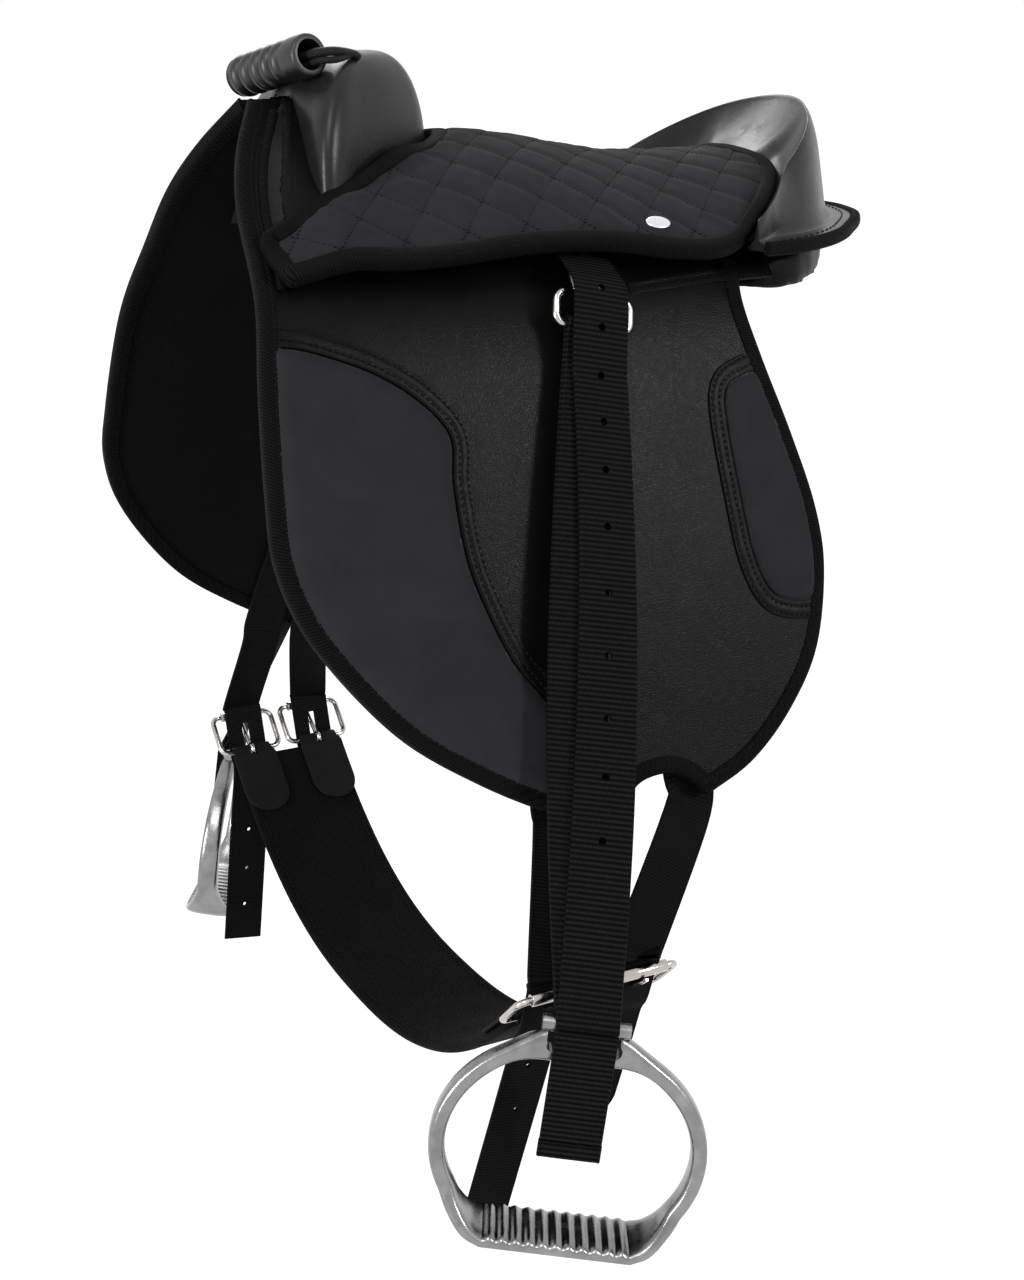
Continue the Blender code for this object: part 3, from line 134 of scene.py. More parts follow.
def evenly_spaced(points, step=MM, closed=False):
    return [row[0] for row in evenly([[p] for p in points], step, closed)]


def length_of(path):
    return sum((b - a).length for a, b in zip(path, path[1:]))


def run_at(path, i, reach=1, closed=False):
    """A path's direction at a point, taken from the points a few places before and after it."""
    last = len(path) - 1
    ahead = path[(i + reach) % (last + 1)] if closed else path[min(last, i + reach)]
    return (ahead - (path[i - reach] if closed else path[max(0, i - reach)])).normalized()


def circle(count, start=0.0):
    """Cosines and sines once round."""
    return [(math.cos(a), math.sin(a)) for a in (2 * math.pi * (k + start) / count for k in range(count))]


def round_rings(path, radius, sides=16, closed=False, sizes=None):
    """Circles about a path that don't twist. sizes gives the radius a factor at each point."""
    rings = []
    up = Vector((0.31, 0.17, 0.93))
    for i, p in enumerate(path):
        run = run_at(path, i, 1, closed)
        side = run.cross(up).normalized()
        up = side.cross(run).normalized()
        size = radius * (sizes[i] if sizes else 1.0)
        rings.append([p + (side * c + up * s) * size for c, s in circle(sides)])
    return rings


def from_bmesh(bm, mesh=None):
    """Turns the faces outwards and gives the mesh."""
    bmesh.ops.recalc_face_normals(bm, faces=bm.faces)
    mesh = mesh or bpy.data.meshes.new("piece")
    bm.to_mesh(mesh)
    bm.free()
    return mesh


def facing_out(mesh, weld=0.0):
    bm = bmesh.new()
    bm.from_mesh(mesh)
    if weld:
        bmesh.ops.remove_doubles(bm, verts=bm.verts, dist=weld)
    return from_bmesh(bm, mesh)


def skin(rings, looped=False):
    """A closed mesh over rings of equal count. Its UV map is in metres: U along the piece, V round it."""
    count, turns = len(rings), len(rings[0])
    along, around = [0.0], [0.0]
    for a, b in zip(rings, rings[1:] + rings[:1]):
        along.append(along[-1] + (sum(b, Vector()) / turns - sum(a, Vector()) / turns).length)
    middle = rings[count // 2]
    for k in range(turns):
        around.append(around[-1] + (middle[(k + 1) % turns] - middle[k]).length)
    faces, uvs = [], []
    for i in range(count if looped else count - 1):
        n = (i + 1) % count
        for k in range(turns):
            m = (k + 1) % turns
            faces.append((i * turns + k, i * turns + m, n * turns + m, n * turns + k))
            uvs += [(along[i], around[k]), (along[i], around[k + 1]), (along[i + 1], around[k + 1]),
                    (along[i + 1], around[k])]
    for i in () if looped else (0, count - 1):
        faces.append(tuple(i * turns + k for k in range(turns)))
        uvs += [(along[i], around[k]) for k in range(turns)]
    mesh = bpy.data.meshes.new("piece")
    mesh.from_pydata([tuple(p) for ring in rings for p in ring], [], faces)
    mesh.uv_layers.new(name="UVMap").data.foreach_set("uv", [c for uv in uvs for c in uv])
    return facing_out(mesh)


def shown(name, mesh, material, nodes=(), body="saddle", sharp=40):
    """Puts a finished mesh in the scene on its body, in place of its CAD nodes."""
    mesh.name = name
    obj = linked(name, mesh)
    if material:
        mesh.materials.clear()
        mesh.materials.append(material)
    mesh.shade_smooth()
    mesh.set_sharp_from_angle(angle=math.radians(sharp))
    if body:
        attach(obj, body)
    if nodes:
        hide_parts(*nodes)
    return obj


def fill(node, **inputs):
    """Sets or links a node's inputs. One named i0, i1 is taken by its number, the others by their name."""
    for key, value in inputs.items():
        at = node.inputs[int(key[1:]) if key[1:].isdigit() else key.replace("_", " ")]
        if isinstance(value, bpy.types.NodeSocket):
            node.id_data.links.new(value, at)
        else:
            at.default_value = value
    return node


def put(tree, kind, settings=None, **inputs):
    """Adds a node to a tree, with its settings and its inputs."""
    made = tree.nodes.new(kind)
    for key, value in (settings or {}).items():
        setattr(made, key, value)
    return fill(made, **inputs)


def maths(operation):
    """A function that adds a Math node to the tree of the sockets it is given."""
    def result(*values):
        tree = next(v for v in values if isinstance(v, bpy.types.NodeSocket)).id_data
        return put(tree, "ShaderNodeMath", {"operation": operation},
                   **{f"i{k}": v for k, v in enumerate(values)}).outputs[0]
    return result


plus, minus, times, over, larger, sine, cosine, unsigned, whole = map(maths, (
    "ADD", "SUBTRACT", "MULTIPLY", "DIVIDE", "MAXIMUM", "SINE", "COSINE", "ABSOLUTE", "FLOOR"))


def noisy(vector, **inputs):
    return put(vector.id_data, "ShaderNodeTexNoise", Vector=vector, **inputs).outputs[0]


def placed(group, **inputs):
    """Puts a shader group into the tree of its vector and sets its inputs."""
    return put(inputs["Vector"].id_data, "ShaderNodeGroup", {"node_tree": group}, **inputs).outputs


def effect(name, inputs, outputs):
    """An empty shader group with named inputs, each with its value, and named outputs."""
    tree = bpy.data.node_groups.new(name, "ShaderNodeTree")
    for label, value in inputs:
        kind = "NodeSocketVector" if value is None else "NodeSocketFloat"
        made = tree.interface.new_socket(label, in_out="INPUT", socket_type=kind)
        if value is not None:
            made.default_value = value
    for label in outputs:
        tree.interface.new_socket(label, in_out="OUTPUT", socket_type="NodeSocketFloat")
    return tree, put(tree, "NodeGroupInput").outputs, put(tree, "NodeGroupOutput")


# Dust and rubbed patches that every finish shows a little of
dust, has, gives = effect("settled dust", (("Vector", None), ("Patch Size", 0.05)), ("Dust", "Patches"))
patch = noisy(has["Vector"], Scale=over(1.0, has["Patch Size"]), Detail=4.0, Roughness=0.55)
fleck = put(dust, "ShaderNodeMapRange", Value=noisy(has["Vector"], Scale=900.0, Detail=2.0),
            From_Min=0.66, From_Max=0.8)
fill(gives, Dust=times(fleck.outputs[0], patch), Patches=patch)


def begun(name, patch_size):
    """A new material with its tree, its coordinates and its dust."""
    made = bpy.data.materials.new(name)
    made.use_nodes = True
    uv = put(made.node_tree, "ShaderNodeTexCoord").outputs
    return made, made.node_tree, uv, placed(dust, Vector=uv["Object"], Patch_Size=patch_size)


def finished(made, height, depth, low, high, tone, roughness, wander, strength=1.0, **inputs):
    """Gives a material its bump, a colour between low and high by the tone mask, a roughness between two
    values by the wander mask, and its other uniform values."""
    tree = made.node_tree
    bump = put(tree, "ShaderNodeBump", Height=height, Distance=depth, Strength=strength)
    colour = put(tree, "ShaderNodeMix", {"data_type": "RGBA"}, i0=tone, i6=(*low, 1.0), i7=(*high, 1.0))
    rough = put(tree, "ShaderNodeMapRange", Value=wander, From_Min=0.25, From_Max=0.75, To_Min=roughness[0],
                To_Max=roughness[1])
    fill(tree.nodes["Principled BSDF"], Normal=bump.outputs[0], Base_Color=colour.outputs[2],
         Roughness=rough.outputs[0], **inputs)
    return made


def braid_finish():
    """Sixteen-strand braid: two sets of crossing yarns on the piece's own UV map."""
    made, tree, uv, specks = begun("braided cord", 0.02)
    along, around, _ = put(tree, "ShaderNodeSeparateXYZ", Vector=uv["UV"]).outputs
    turn = 4 * 2 / CORD_DIAMETER
    first, second = (unsigned(sine(times(mixed, turn)))
                     for mixed in (plus(along, around), minus(along, around)))
    return finished(made, larger(first, second), 0.5 * MM, (0.006, 0.006, 0.006), (0.030, 0.030, 0.032),
                    specks["Dust"], (0.48, 0.66), specks["Patches"], Specular_IOR_Level=0.2)


def handle_route(shift, sag):
    """From the near anchor to the sleeve's mouth, through it and back to the off anchor."""
    half = SLEEVE_LENGTH / 2
    near_end = SLEEVE_MIDDLE + SLEEVE_AXIS * (half + 5 * MM) + shift
    off_end = SLEEVE_MIDDLE - SLEEVE_AXIS * (half + 9 * MM) + shift
    off = HANDLE_ANCHOR
    near = Vector((off.x, -off.y, off.z))
    rise = Vector((-3.4, -1.2, 1.8)) * MM
    points = through([near, near + rise, near.lerp(near_end, 0.6) + Vector((0, -2.5, 1.6 + sag)) * MM,
                      near_end], 6)
    points += through([off_end, off.lerp(off_end, 0.5) + Vector((0, 8, 3 + sag)) * MM,
                       off + Vector((rise.x, -rise.y, rise.z)), off], 6)
    return points


cord_finish = braid_finish()
for cord_name, width, shift, sag, stands_for in (
        ("handle_cord_braid", CORD_DIAMETER, Vector((0, 0, 0)), 0, ("handle_cord",)),
        ("handle_cord_second_strand", STRAND_DIAMETER, Vector((1.2, -0.6, -3.6)) * MM, -1.6, ())):
    route = evenly_spaced(handle_route(shift, sag), CORD_STEP)
    cord_piece = shown(cord_name, skin(round_rings(route, width / 2)), cord_finish,
                       stands_for, "handle")


# Tree, head plate and hangers
# A moulded plastic seat plate, a steel arch over the withers and steel wire loops riveted under the plate.
# The pad, flaps and pommel hide nearly all of them, so the CAD solids stay and take their finishes.
def plastic_finish():
    made, tree, uv, specks = begun("tree plastic", 0.03)
    pebble = put(tree, "ShaderNodeTexVoronoi", Vector=uv["Object"], Scale=900.0)
    return finished(made, pebble.outputs[0], 0.2 * MM, (0.018, 0.018, 0.018), (0.05, 0.05, 0.05),
                    specks["Patches"], (0.5, 0.65), specks["Patches"], 0.4)


def metal_finish(name, low, high, roughness, brush, depth):
    """Plated or cast metal: a little colour drift, soft pits and a roughness that wanders."""
    made, _, uv, specks = begun(name, 0.012)
    pits = noisy(uv["Object"], Scale=brush, Detail=5.0, Roughness=0.6)
    return finished(made, pits, depth, low, high, specks["Patches"], roughness, specks["Patches"],
                    Metallic=1.0)


def dress(node, material, smooth=False):
    """Gives a CAD solid that stays its finish, and rounds its facets with live modifiers."""
    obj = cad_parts[node]
    obj.data.materials.clear()
    obj.data.materials.append(material)
    for polygon in obj.data.polygons:
        polygon.material_index = 0
    if smooth:
        obj.modifiers.new("weld", "WELD").merge_threshold = 0.00001
        rounding = obj.modifiers.new("rounding", "SUBSURF")
        rounding.levels = rounding.render_levels = 1


nickel = metal_finish("nickel plate", (0.34, 0.32, 0.30), (0.62, 0.60, 0.56), (0.12, 0.24), 600.0, 0.04 * MM)
dress("tree", plastic_finish())
# The head plate is near-black steel. This is partly its own finish and partly a painted shade that keeps it
# dark where it shows under the pommel's front.
dress("head_plate", metal_finish("blackened steel with painted shade", (0.010, 0.010, 0.010), (0.030, 0.030, 0.030), (0.45, 0.6),
                                 300.0, 0.06 * MM))
for side_name, _ in SIDES:
    dress(side_name + "_hanger", nickel, True)


# Skirt surface
# The two flaps, their linings and all that is sewn on them follow one surface: a steep neck over the
# withers, a shoulder and then a steady splay down the pony's sides.
NECK_TOP, NECK_HALF_WIDTH, NECK_SLOPE = 70 * MM, 14.4 * MM, 1.05
SHOULDER_HALF_WIDTH, SPLAY, SHOULDER_BLEND = 102 * MM, 0.324, 16 * MM
FLAP_FRONT, FLAP_LENGTH, FLAP_RISE, FLAP_DROP = -218 * MM, 304 * MM, 76 * MM, 266 * MM
FLAP_THICKNESS, LINING_THICKNESS = 3.5 * MM, 2.5 * MM
BINDING_WIDTH = 8.5 * MM
NECK_REAR = -130 * MM


def half_spread(z):
    upper = NECK_HALF_WIDTH + (NECK_TOP - z) * NECK_SLOPE
    lower = SHOULDER_HALF_WIDTH - z * SPLAY
    return (upper + lower - math.sqrt((upper - lower) ** 2 + SHOULDER_BLEND ** 2)) / 2


def on_skirt(x, z, out, side):
    """A point that stands out of the flap's face, and the face's outward direction there. out is a distance
    or a function of (x, z)."""
    slope = (half_spread(z - MM) - half_spread(z + MM)) / (2 * MM)
    face = Vector((0, side, slope)).normalized()
    return Vector((x, side * half_spread(z), z)) + face * (out(x, z) if callable(out) else out), face


def skirt_height(y):
    low, high = -290 * MM, 82 * MM
    for _ in range(30):
        middle = (low + high) / 2
        low, high = (middle, high) if half_spread(middle) > y else (low, middle)
    return low


def in_mm(*points):
    return [Vector(p) * MM for p in points]


def smoothed(path, rounds, closed=False):
    """Draws each point towards its neighbours."""
    for _ in range(rounds):
        ends = () if closed else (0, len(path) - 1)
        path = [p if k in ends else (path[k - 1] + p * 2 + path[(k + 1) % len(path)]) / 4
                for k, p in enumerate(path)]
    return path


def finder(path):
    """Measures how far a flat point is from a path that has a point every millimetre or so."""
    found = kdtree.KDTree(len(path))
    for i, p in enumerate(path):
        found.insert((p.x, p.y, 0), i)
    found.balance()
    return lambda p: found.find((p[0], p[1], 0))[2]


def sideways(path, distance, closed=False):
    """A flat path moved to the left of its run, with the loops that this makes taken out."""
    from_path = finder(path)
    moved = []
    for i, p in enumerate(path):
        run = run_at(path, i, 1, closed)
        q = p + Vector((-run.y, run.x)) * distance
        if from_path(q) > abs(distance) * 0.96:
            moved.append(q)
    return moved


def flap_places(*shares):
    """Places on the flap, from their shares of its length and of its drop."""
    return [Vector((FLAP_FRONT + u * FLAP_LENGTH, -v * FLAP_DROP)) for u, v in shares]


def flap_rim():
    """The flap's free edge, from the top of the neck down the front, round the foot and up the rear."""
    front = [Vector((FLAP_FRONT + u * FLAP_LENGTH, v * FLAP_RISE))
             for u, v in ((0.15, 1), (0.1, 0.7), (0.068, 0.38))]
    front += flap_places((0.050, 0.02), (0.022, 0.17), (0.004, 0.36), (0.003, 0.48), (0.044, 0.61),
                         (0.155, 0.775), (0.285, 0.885), (0.415, 0.965), (0.50, 0.995))
    arch = flap_places((0.535, 0.962), (0.572, 0.935), (0.625, 0.93), (0.665, 0.95))
    rear = flap_places((0.69, 0.985), (0.79, 0.94), (0.88, 0.862), (0.955, 0.755), (0.995, 0.61),
                       (0.995, 0.49), (0.967, 0.35), (0.93, 0.20), (0.915, 0.10), (0.93, 0.03))
    rim = through(front)[:-1] + through([front[-1]] + arch) + through(rear)
    return smoothed(evenly_spaced(rim), 6)


FLAP_RIM = flap_rim()


def gridded(points, cuts, near):
    """A flat face cut along planes, each a place and a normal, with a copy of itself to be its other side.
    Gives the bmesh and the copy's points."""
    bm = bmesh.new()
    bm.faces.new([bm.verts.new(p) for p in points])
    for place, normal in cuts:
        bmesh.ops.bisect_plane(bm, geom=bm.verts[:] + bm.edges[:] + bm.faces[:], dist=near, plane_co=place,
                               plane_no=normal)
    bmesh.ops.triangulate(bm, faces=[face for face in bm.faces if len(face.verts) > 4])
    made = bmesh.ops.extrude_face_region(bm, geom=bm.faces[:], use_keep_orig=True)
    return bm, {v for v in made["geom"] if isinstance(v, bmesh.types.BMVert)}


def skirt_cloth(outline, inner, outer, side, cell):
    """A flat outline of (x, z) filled with a grid and laid on the skirt. inner and outer are its two faces'
    distances from the flap's own face, each a number or a function of (x, z)."""
    cuts = []
    for axis, normal in enumerate(((1, 0, 0), (0, 0, 1))):
        low, high = min(p[axis] for p in outline), max(p[axis] for p in outline)
        cuts += [(Vector(normal) * (low + i * cell), normal) for i in range(1, int((high - low) / cell) + 1)]
    bm, lifted = gridded([(p[0], 0, p[1]) for p in outline], cuts, 0.000001)
    places = {v: (v.co.x, v.co.z) for v in bm.verts}
    for v, (x, z) in places.items():
        v.co = on_skirt(x, z, outer if v in lifted else inner, side)[0]
    layer = bm.loops.layers.uv.new("UVMap")
    for face in bm.faces:
        for loop in face.loops:
            loop[layer].uv = places[loop.vert]
    return from_bmesh(bm)


# Panels
# Stuffed gussets of the flaps' coated leather-look sheet, under the tree and the cantle, one each side of the
# spine.
def lining_finish():
    """Close woven cotton."""
    made, tree, uv, specks = begun("lining cloth", 0.04)
    x, y, z = put(tree, "ShaderNodeSeparateXYZ", Vector=uv["Object"]).outputs
    turn = 2 * math.pi / (1.1 * MM)
    weft, warp = sine(times(plus(x, y), turn)), sine(times(z, turn))
    nap = noisy(uv["Object"], Scale=1400.0, Detail=3.0)
    return finished(made, plus(times(plus(weft, warp), 0.25), nap), 0.25 * MM, (0.003, 0.003, 0.0033),
                    (0.012, 0.012, 0.013), plus(specks["Dust"], times(specks["Patches"], 0.4)), (0.85, 0.95),
                    specks["Patches"], Specular_IOR_Level=0.04)


def baked(obj):
    """The object's evaluated mesh, with the object and its modifiers gone."""
    graph = bpy.context.evaluated_depsgraph_get()
    mesh = bpy.data.meshes.new_from_object(obj.evaluated_get(graph), depsgraph=graph)
    mesh.transform(obj.matrix_world)
    bpy.data.objects.remove(obj)
    return mesh


def eased_copy(node, voxel, rounds):
    """A soft form grown from a CAD solid: welded, remeshed to an even skin and eased."""
    obj = linked("form", facing_out(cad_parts[node].data.copy(), weld=0.00001))
    remesh = obj.modifiers.new("skin", "REMESH")
    remesh.mode, remesh.voxel_size = "VOXEL", voxel
    eased = obj.modifiers.new("eased", "SMOOTH")
    eased.factor, eased.iterations = 0.6, rounds
    return baked(obj)


grain, has, gives = effect("leather grain", (("Vector", None), ("Pore Size", 1.1 * MM),
                                             ("Crease Size", 22 * MM)), ("Height", "Tone"))
pores = put(grain, "ShaderNodeTexVoronoi", {"feature": "DISTANCE_TO_EDGE"}, Vector=has["Vector"],
            Scale=over(1.0, has["Pore Size"]))
pore_wall = put(grain, "ShaderNodeMapRange", Value=pores.outputs[0], From_Min=0.0, From_Max=0.22)
crease = noisy(has["Vector"], Scale=over(1.0, has["Crease Size"]), Detail=5.0, Roughness=0.55, Distortion=0.6)
fill(gives, Height=plus(times(pore_wall.outputs[0], 0.12), crease), Tone=crease)


def leather_finish(name, low, high, roughness, pore, creases, depth, specular=0.065):
    """Coated leather-look sheet: fine pores, soft creases and a sheen that wanders."""
    made, _, uv, specks = begun(name, 0.06)
    made_grain = placed(grain, Vector=uv["Object"], Pore_Size=pore, Crease_Size=creases)
    tone = made_grain["Tone"]
    return finished(made, made_grain["Height"], depth, low, high, plus(times(tone, 0.6), specks["Dust"]),
                    roughness, plus(times(specks["Patches"], 0.5), times(tone, 0.5)),
                    Specular_IOR_Level=specular)


leather = leather_finish("coated leather", (0.002, 0.002, 0.0021), (0.0072, 0.007, 0.0073), (0.24, 0.36),
                         1.1 * MM, 26 * MM, 0.35 * MM)
lining_cloth = lining_finish()
for side_name, _ in SIDES:
    gusset = shown(side_name + "_panel_gusset", eased_copy(side_name + "_panel", 3 * MM, 4), leather,
                   (side_name + "_panel",), sharp=60)


# Stitching
# Every seam is sewn with polyester thread. Each stitch is a short bead that sinks a little at its ends.
stitching = bpy.data.node_groups.new("stitch row", "GeometryNodeTree")
for label, kind, value in (("Geometry", "NodeSocketGeometry", None), ("Pitch", "NodeSocketFloat", 3 * MM),
                           ("Length", "NodeSocketFloat", 2.4 * MM), ("Width", "NodeSocketFloat", 0.7 * MM),
                           ("Thread", "NodeSocketMaterial", None)):
    made_socket = stitching.interface.new_socket(label, in_out="INPUT", socket_type=kind)
    if value:
        made_socket.default_value = value
stitching.interface.new_socket("Geometry", in_out="OUTPUT", socket_type="NodeSocketGeometry")
has = put(stitching, "NodeGroupInput").outputs
line = put(stitching, "GeometryNodeMeshToCurve", Mesh=has["Geometry"])
dots = put(stitching, "GeometryNodeResampleCurve", {"mode": "LENGTH"}, Curve=line.outputs[0],
           Length=has["Pitch"])
bead = put(stitching, "GeometryNodeMeshUVSphere", Segments=6, Rings=4, Radius=0.5)
size = put(stitching, "ShaderNodeCombineXYZ", X=has["Width"], Y=has["Width"], Z=has["Length"])
run = put(stitching, "GeometryNodeInputTangent")
facing = put(stitching, "GeometryNodeInputNamedAttribute", {"data_type": "FLOAT_VECTOR"}, Name="outward")
aimed = put(stitching, "FunctionNodeAlignRotationToVector", {"axis": "Z"}, Vector=run.outputs[0])
rolled = put(stitching, "FunctionNodeAlignRotationToVector", {"axis": "X", "pivot_axis": "Z"},
             Rotation=aimed.outputs[0], Vector=facing.outputs[0])
beads = put(stitching, "GeometryNodeInstanceOnPoints", Points=dots.outputs[0], Instance=bead.outputs[0],
            Rotation=rolled.outputs[0], Scale=size.outputs[0])
solid = put(stitching, "GeometryNodeRealizeInstances", Geometry=beads.outputs[0])
rounded = put(stitching, "GeometryNodeSetShadeSmooth", Geometry=solid.outputs[0])
sewn = put(stitching, "GeometryNodeSetMaterial", Geometry=rounded.outputs[0], Material=has["Thread"])
put(stitching, "NodeGroupOutput", Geometry=sewn.outputs[0])


def thread_finish():
    made, tree, uv, specks = begun("black thread", 0.01)
    ply = put(tree, "ShaderNodeTexWave", {"bands_direction": "DIAGONAL"}, Vector=uv["Object"], Scale=700.0)
    return finished(made, ply.outputs[0], 0.1 * MM, (0.0008, 0.0008, 0.0008), (0.0025, 0.0025, 0.0026),
                    specks["Patches"], (0.5, 0.65), specks["Patches"], Specular_IOR_Level=0.12)


black_thread = thread_finish()


def stitches(name, runs, pitch, length, width, body="saddle"):
    """Sews rows of (place, outward) points. Sizes are in millimetres."""
    verts, edges, outward = [], [], []
    for rows in runs:
        first = len(verts)
        verts += [tuple(place) for place, _ in rows]
        outward += [c for _, normal in rows for c in normal]
        edges += [(k, k + 1) for k in range(first, len(verts) - 1)]
    mesh = bpy.data.meshes.new("stitch line")
    mesh.from_pydata(verts, edges, [])
    mesh.attributes.new("outward", "FLOAT_VECTOR", "POINT").data.foreach_set("vector", outward)
    sewing = linked(name, mesh)
    mod = sewing.modifiers.new("sewn", "NODES")
    mod.node_group = stitching
    values = {"Pitch": pitch * MM, "Length": length * MM, "Width": width * MM, "Thread": black_thread}
    for item in stitching.interface.items_tree:
        if item.in_out == "INPUT" and item.name in values:
            mod[item.identifier] = values[item.name]
    return shown(name, baked(sewing), None, (), body)


# Flaps
# Each flap is coated leather-look sheet over a cloth lining, cut in one piece from the neck to the foot.
# A suede-like knee insert and a smaller rear insert are let into it behind a welt with two rows of stitches.
# The weave's Yarn mask marks the yarn crests on each rib. The webbing finishes paint these lighter as a
# painted highlight of glints.
weaving, has, gives = effect("ribbed weave", (("Vector", None), ("Rib Pitch", 2.6 * MM),
                                              ("Yarn Pitch", 1.0 * MM), ("Slant", 0.0)), ("Height", "Yarn"))
along, around, _ = put(weaving, "ShaderNodeSeparateXYZ", Vector=has["Vector"]).outputs
ribs_along = over(plus(along, times(around, has["Slant"])), has["Rib Pitch"])
rib_half = times(plus(cosine(times(ribs_along, 2 * math.pi)), 1.0), 0.5)
yarns_around = plus(over(around, has["Yarn Pitch"]), times(whole(plus(ribs_along, 0.5)), 0.5))
painted_yarn_glint = times(rib_half, unsigned(sine(times(yarns_around, math.pi))))
fuzz = noisy(has["Vector"], Scale=1800.0, Detail=2.0)
fill(gives, Height=plus(times(plus(painted_yarn_glint, rib_half), 0.5), times(fuzz, 0.25)), Yarn=painted_yarn_glint)


def webbing_finish(name, low, high, rib_pitch, yarn_pitch, depth, roughness, slant=0.0):
    """Woven polyester. Its ribs and yarns follow the piece's own UV map, which is in metres. Its colour is
    lighter on the yarn crests of the ribs, a painted highlight of glints, and in real flecks of dust.
    """
    made, _, uv, specks = begun(name, 0.03)
    weave = placed(weaving, Vector=uv["UV"], Rib_Pitch=rib_pitch, Yarn_Pitch=yarn_pitch, Slant=slant)
    # Colour: the yarn crests are painted lighter as a painted highlight, plus real dust flecks.
    return finished(made, weave["Height"], depth, low, high, plus(times(weave["Yarn"], 0.8), specks["Dust"]),
                    roughness, specks["Patches"], Specular_IOR_Level=0.035)


def suede_finish():
    """Brushed microfibre: a short nap that catches light at its edges and shows faint brush marks."""
    made, _, uv, specks = begun("suede cloth", 0.03)
    nap = noisy(uv["Object"], Scale=2200.0, Detail=3.0, Roughness=0.7)
    brushed = noisy(uv["Object"], Scale=28.0, Detail=4.0, Distortion=1.5)
    return finished(made, nap, 0.12 * MM, (0.017, 0.0163, 0.0182), (0.029, 0.0278, 0.0312),
                    plus(brushed, times(specks["Dust"], 0.5)), (0.84, 0.96), brushed, Specular_IOR_Level=0.03,
                    Sheen_Weight=0.12, Sheen_Roughness=0.35)


suede = suede_finish()
binding_tape = webbing_finish("binding tape", (0.0012, 0.0012, 0.0013), (0.014, 0.014, 0.0145), 1.5 * MM,
                              0.9 * MM, 0.35 * MM, (0.55, 0.7), 0.35)


def flap_level(side):
    """How far the flap's outer face wanders in and out: long soft waves, and shallow creases by the strap."""
    def level(x, z):
        wave = noise.noise(Vector((x * 13, z * 8, 4.3 * side))) * 0.7 * MM
        crease = math.exp(-((x + 0.01) / 0.03) ** 2) * noise.noise(Vector((x * 90, z * 22, 2.7))) * 0.25 * MM
        return wave + crease - 0.1 * MM
    return level


def lay(line, out, side):
    """A flat line laid on the skirt as rows of place and outward direction."""
    return [on_skirt(p[0], p[1], out, side) for p in line]


def laid_band(line, profile, side, pitch=0.0, rib=0.0, ends=0.0):
    """A strip along a flat line. profile is its section in millimetres: how far it lies to the left of the
    line and how far out. Ribs cross it a pitch apart, and it thins towards its ends."""
    line = evenly_spaced(line, pitch / 4 if pitch else MM)
    last = len(line) - 1
    step = length_of(line) / last
    rings = []
    for i, p in enumerate(line):
        run = run_at(line, i, 3)
        left = Vector((-run.y, run.x))
        wave = math.cos(2 * math.pi * i * step / pitch) * rib if pitch else 0.0
        share = min(1.0, 0.35 + 0.65 * (min(i, last - i) * step) / ends) if ends else 1.0
        ring = []
        for across, out in profile:
            q = p + left * (across * MM)
            lift = out * share if out > 0 else out
            lift += wave if out > 0.3 else (-wave if out < -6.6 else 0.0)
            ring.append(on_skirt(q.x, q.y, lift * MM, side)[0])
        rings.append(ring)
    return skin(rings)


def insert_shape(inner_places, wanted):
    """The insert's inner line, run on under the binding at both ends, and its closed outline."""
    inner = through(flap_places(*inner_places), 10)
    rim_side = [p for p in sideways(FLAP_RIM, BINDING_WIDTH - 1.5 * MM) if wanted(p)]
    from_edge = finder(FLAP_RIM)
    return ([p for p in evenly_spaced(inner) if from_edge(p) > 7.5 * MM],
            evenly_spaced(rim_side + inner[6:-6], closed=True))


front_line, front_outline = insert_shape(
    ((0.428, 0.955), (0.42, 0.895), (0.425, 0.79), (0.365, 0.685), (0.325, 0.565), (0.31, 0.48),
     (0.308, 0.37), (0.315, 0.29), (0.27, 0.225), (0.205, 0.175), (0.13, 0.14), (0.085, 0.125),
     (0.03, 0.115)),
    lambda p: p.y < -0.115 * FLAP_DROP and p.x < FLAP_FRONT + 0.42 * FLAP_LENGTH)
rear_line, rear_outline = insert_shape(
    ((0.95, 0.222), (0.885, 0.235), (0.845, 0.26), (0.838, 0.33), (0.843, 0.45), (0.852, 0.56), (0.875, 0.63),
     (0.915, 0.655), (0.98, 0.662)),
    lambda p: p.x > FLAP_FRONT + 0.84 * FLAP_LENGTH and -0.66 * FLAP_DROP < p.y < -0.225 * FLAP_DROP)
sheet_rim = sideways(FLAP_RIM, 1.6 * MM)
sheet_outline = sheet_rim[::4] + [
    Vector((sheet_rim[-1].x - 10 * MM, 7 * MM)), Vector((NECK_REAR + 26 * MM, 7 * MM)),
    Vector((NECK_REAR + 4 * MM, 20 * MM)), Vector((NECK_REAR, FLAP_RISE))]
welt_profile = ((-0.7, -0.6), (-0.8, 0.9), (-1.9, 1.5), (-3.2, 1.25), (-4.0, 1.0), (-4.8, 1.2), (-6.4, 1.45),
                (-7.9, 1.1), (-8.5, 0.85), (-9.2, 0.95), (-10.0, 0.7), (-10.4, -0.6))
tape_profile = ((8.5, -0.6), (8.4, 0.6), (7.6, 1.0), (6.6, 0.7), (5.6, 1.1), (3.4, 1.3), (1.6, 1.1),
                (0.4, 0.2), (-0.1, -1.6), (-0.1, -4.8), (0.4, -6.5), (1.6, -7.3), (3.4, -7.4), (5.6, -7.3),
                (6.6, -6.9), (7.6, -7.2), (8.4, -6.9), (8.5, -5.7))
seam_profile = ((2.0, -0.6), (1.7, 0.6), (0.6, 1.1), (-0.8, 0.8), (-2.0, 0.5), (-3.6, 0.75), (-5.0, 0.5),
                (-5.4, -0.6))
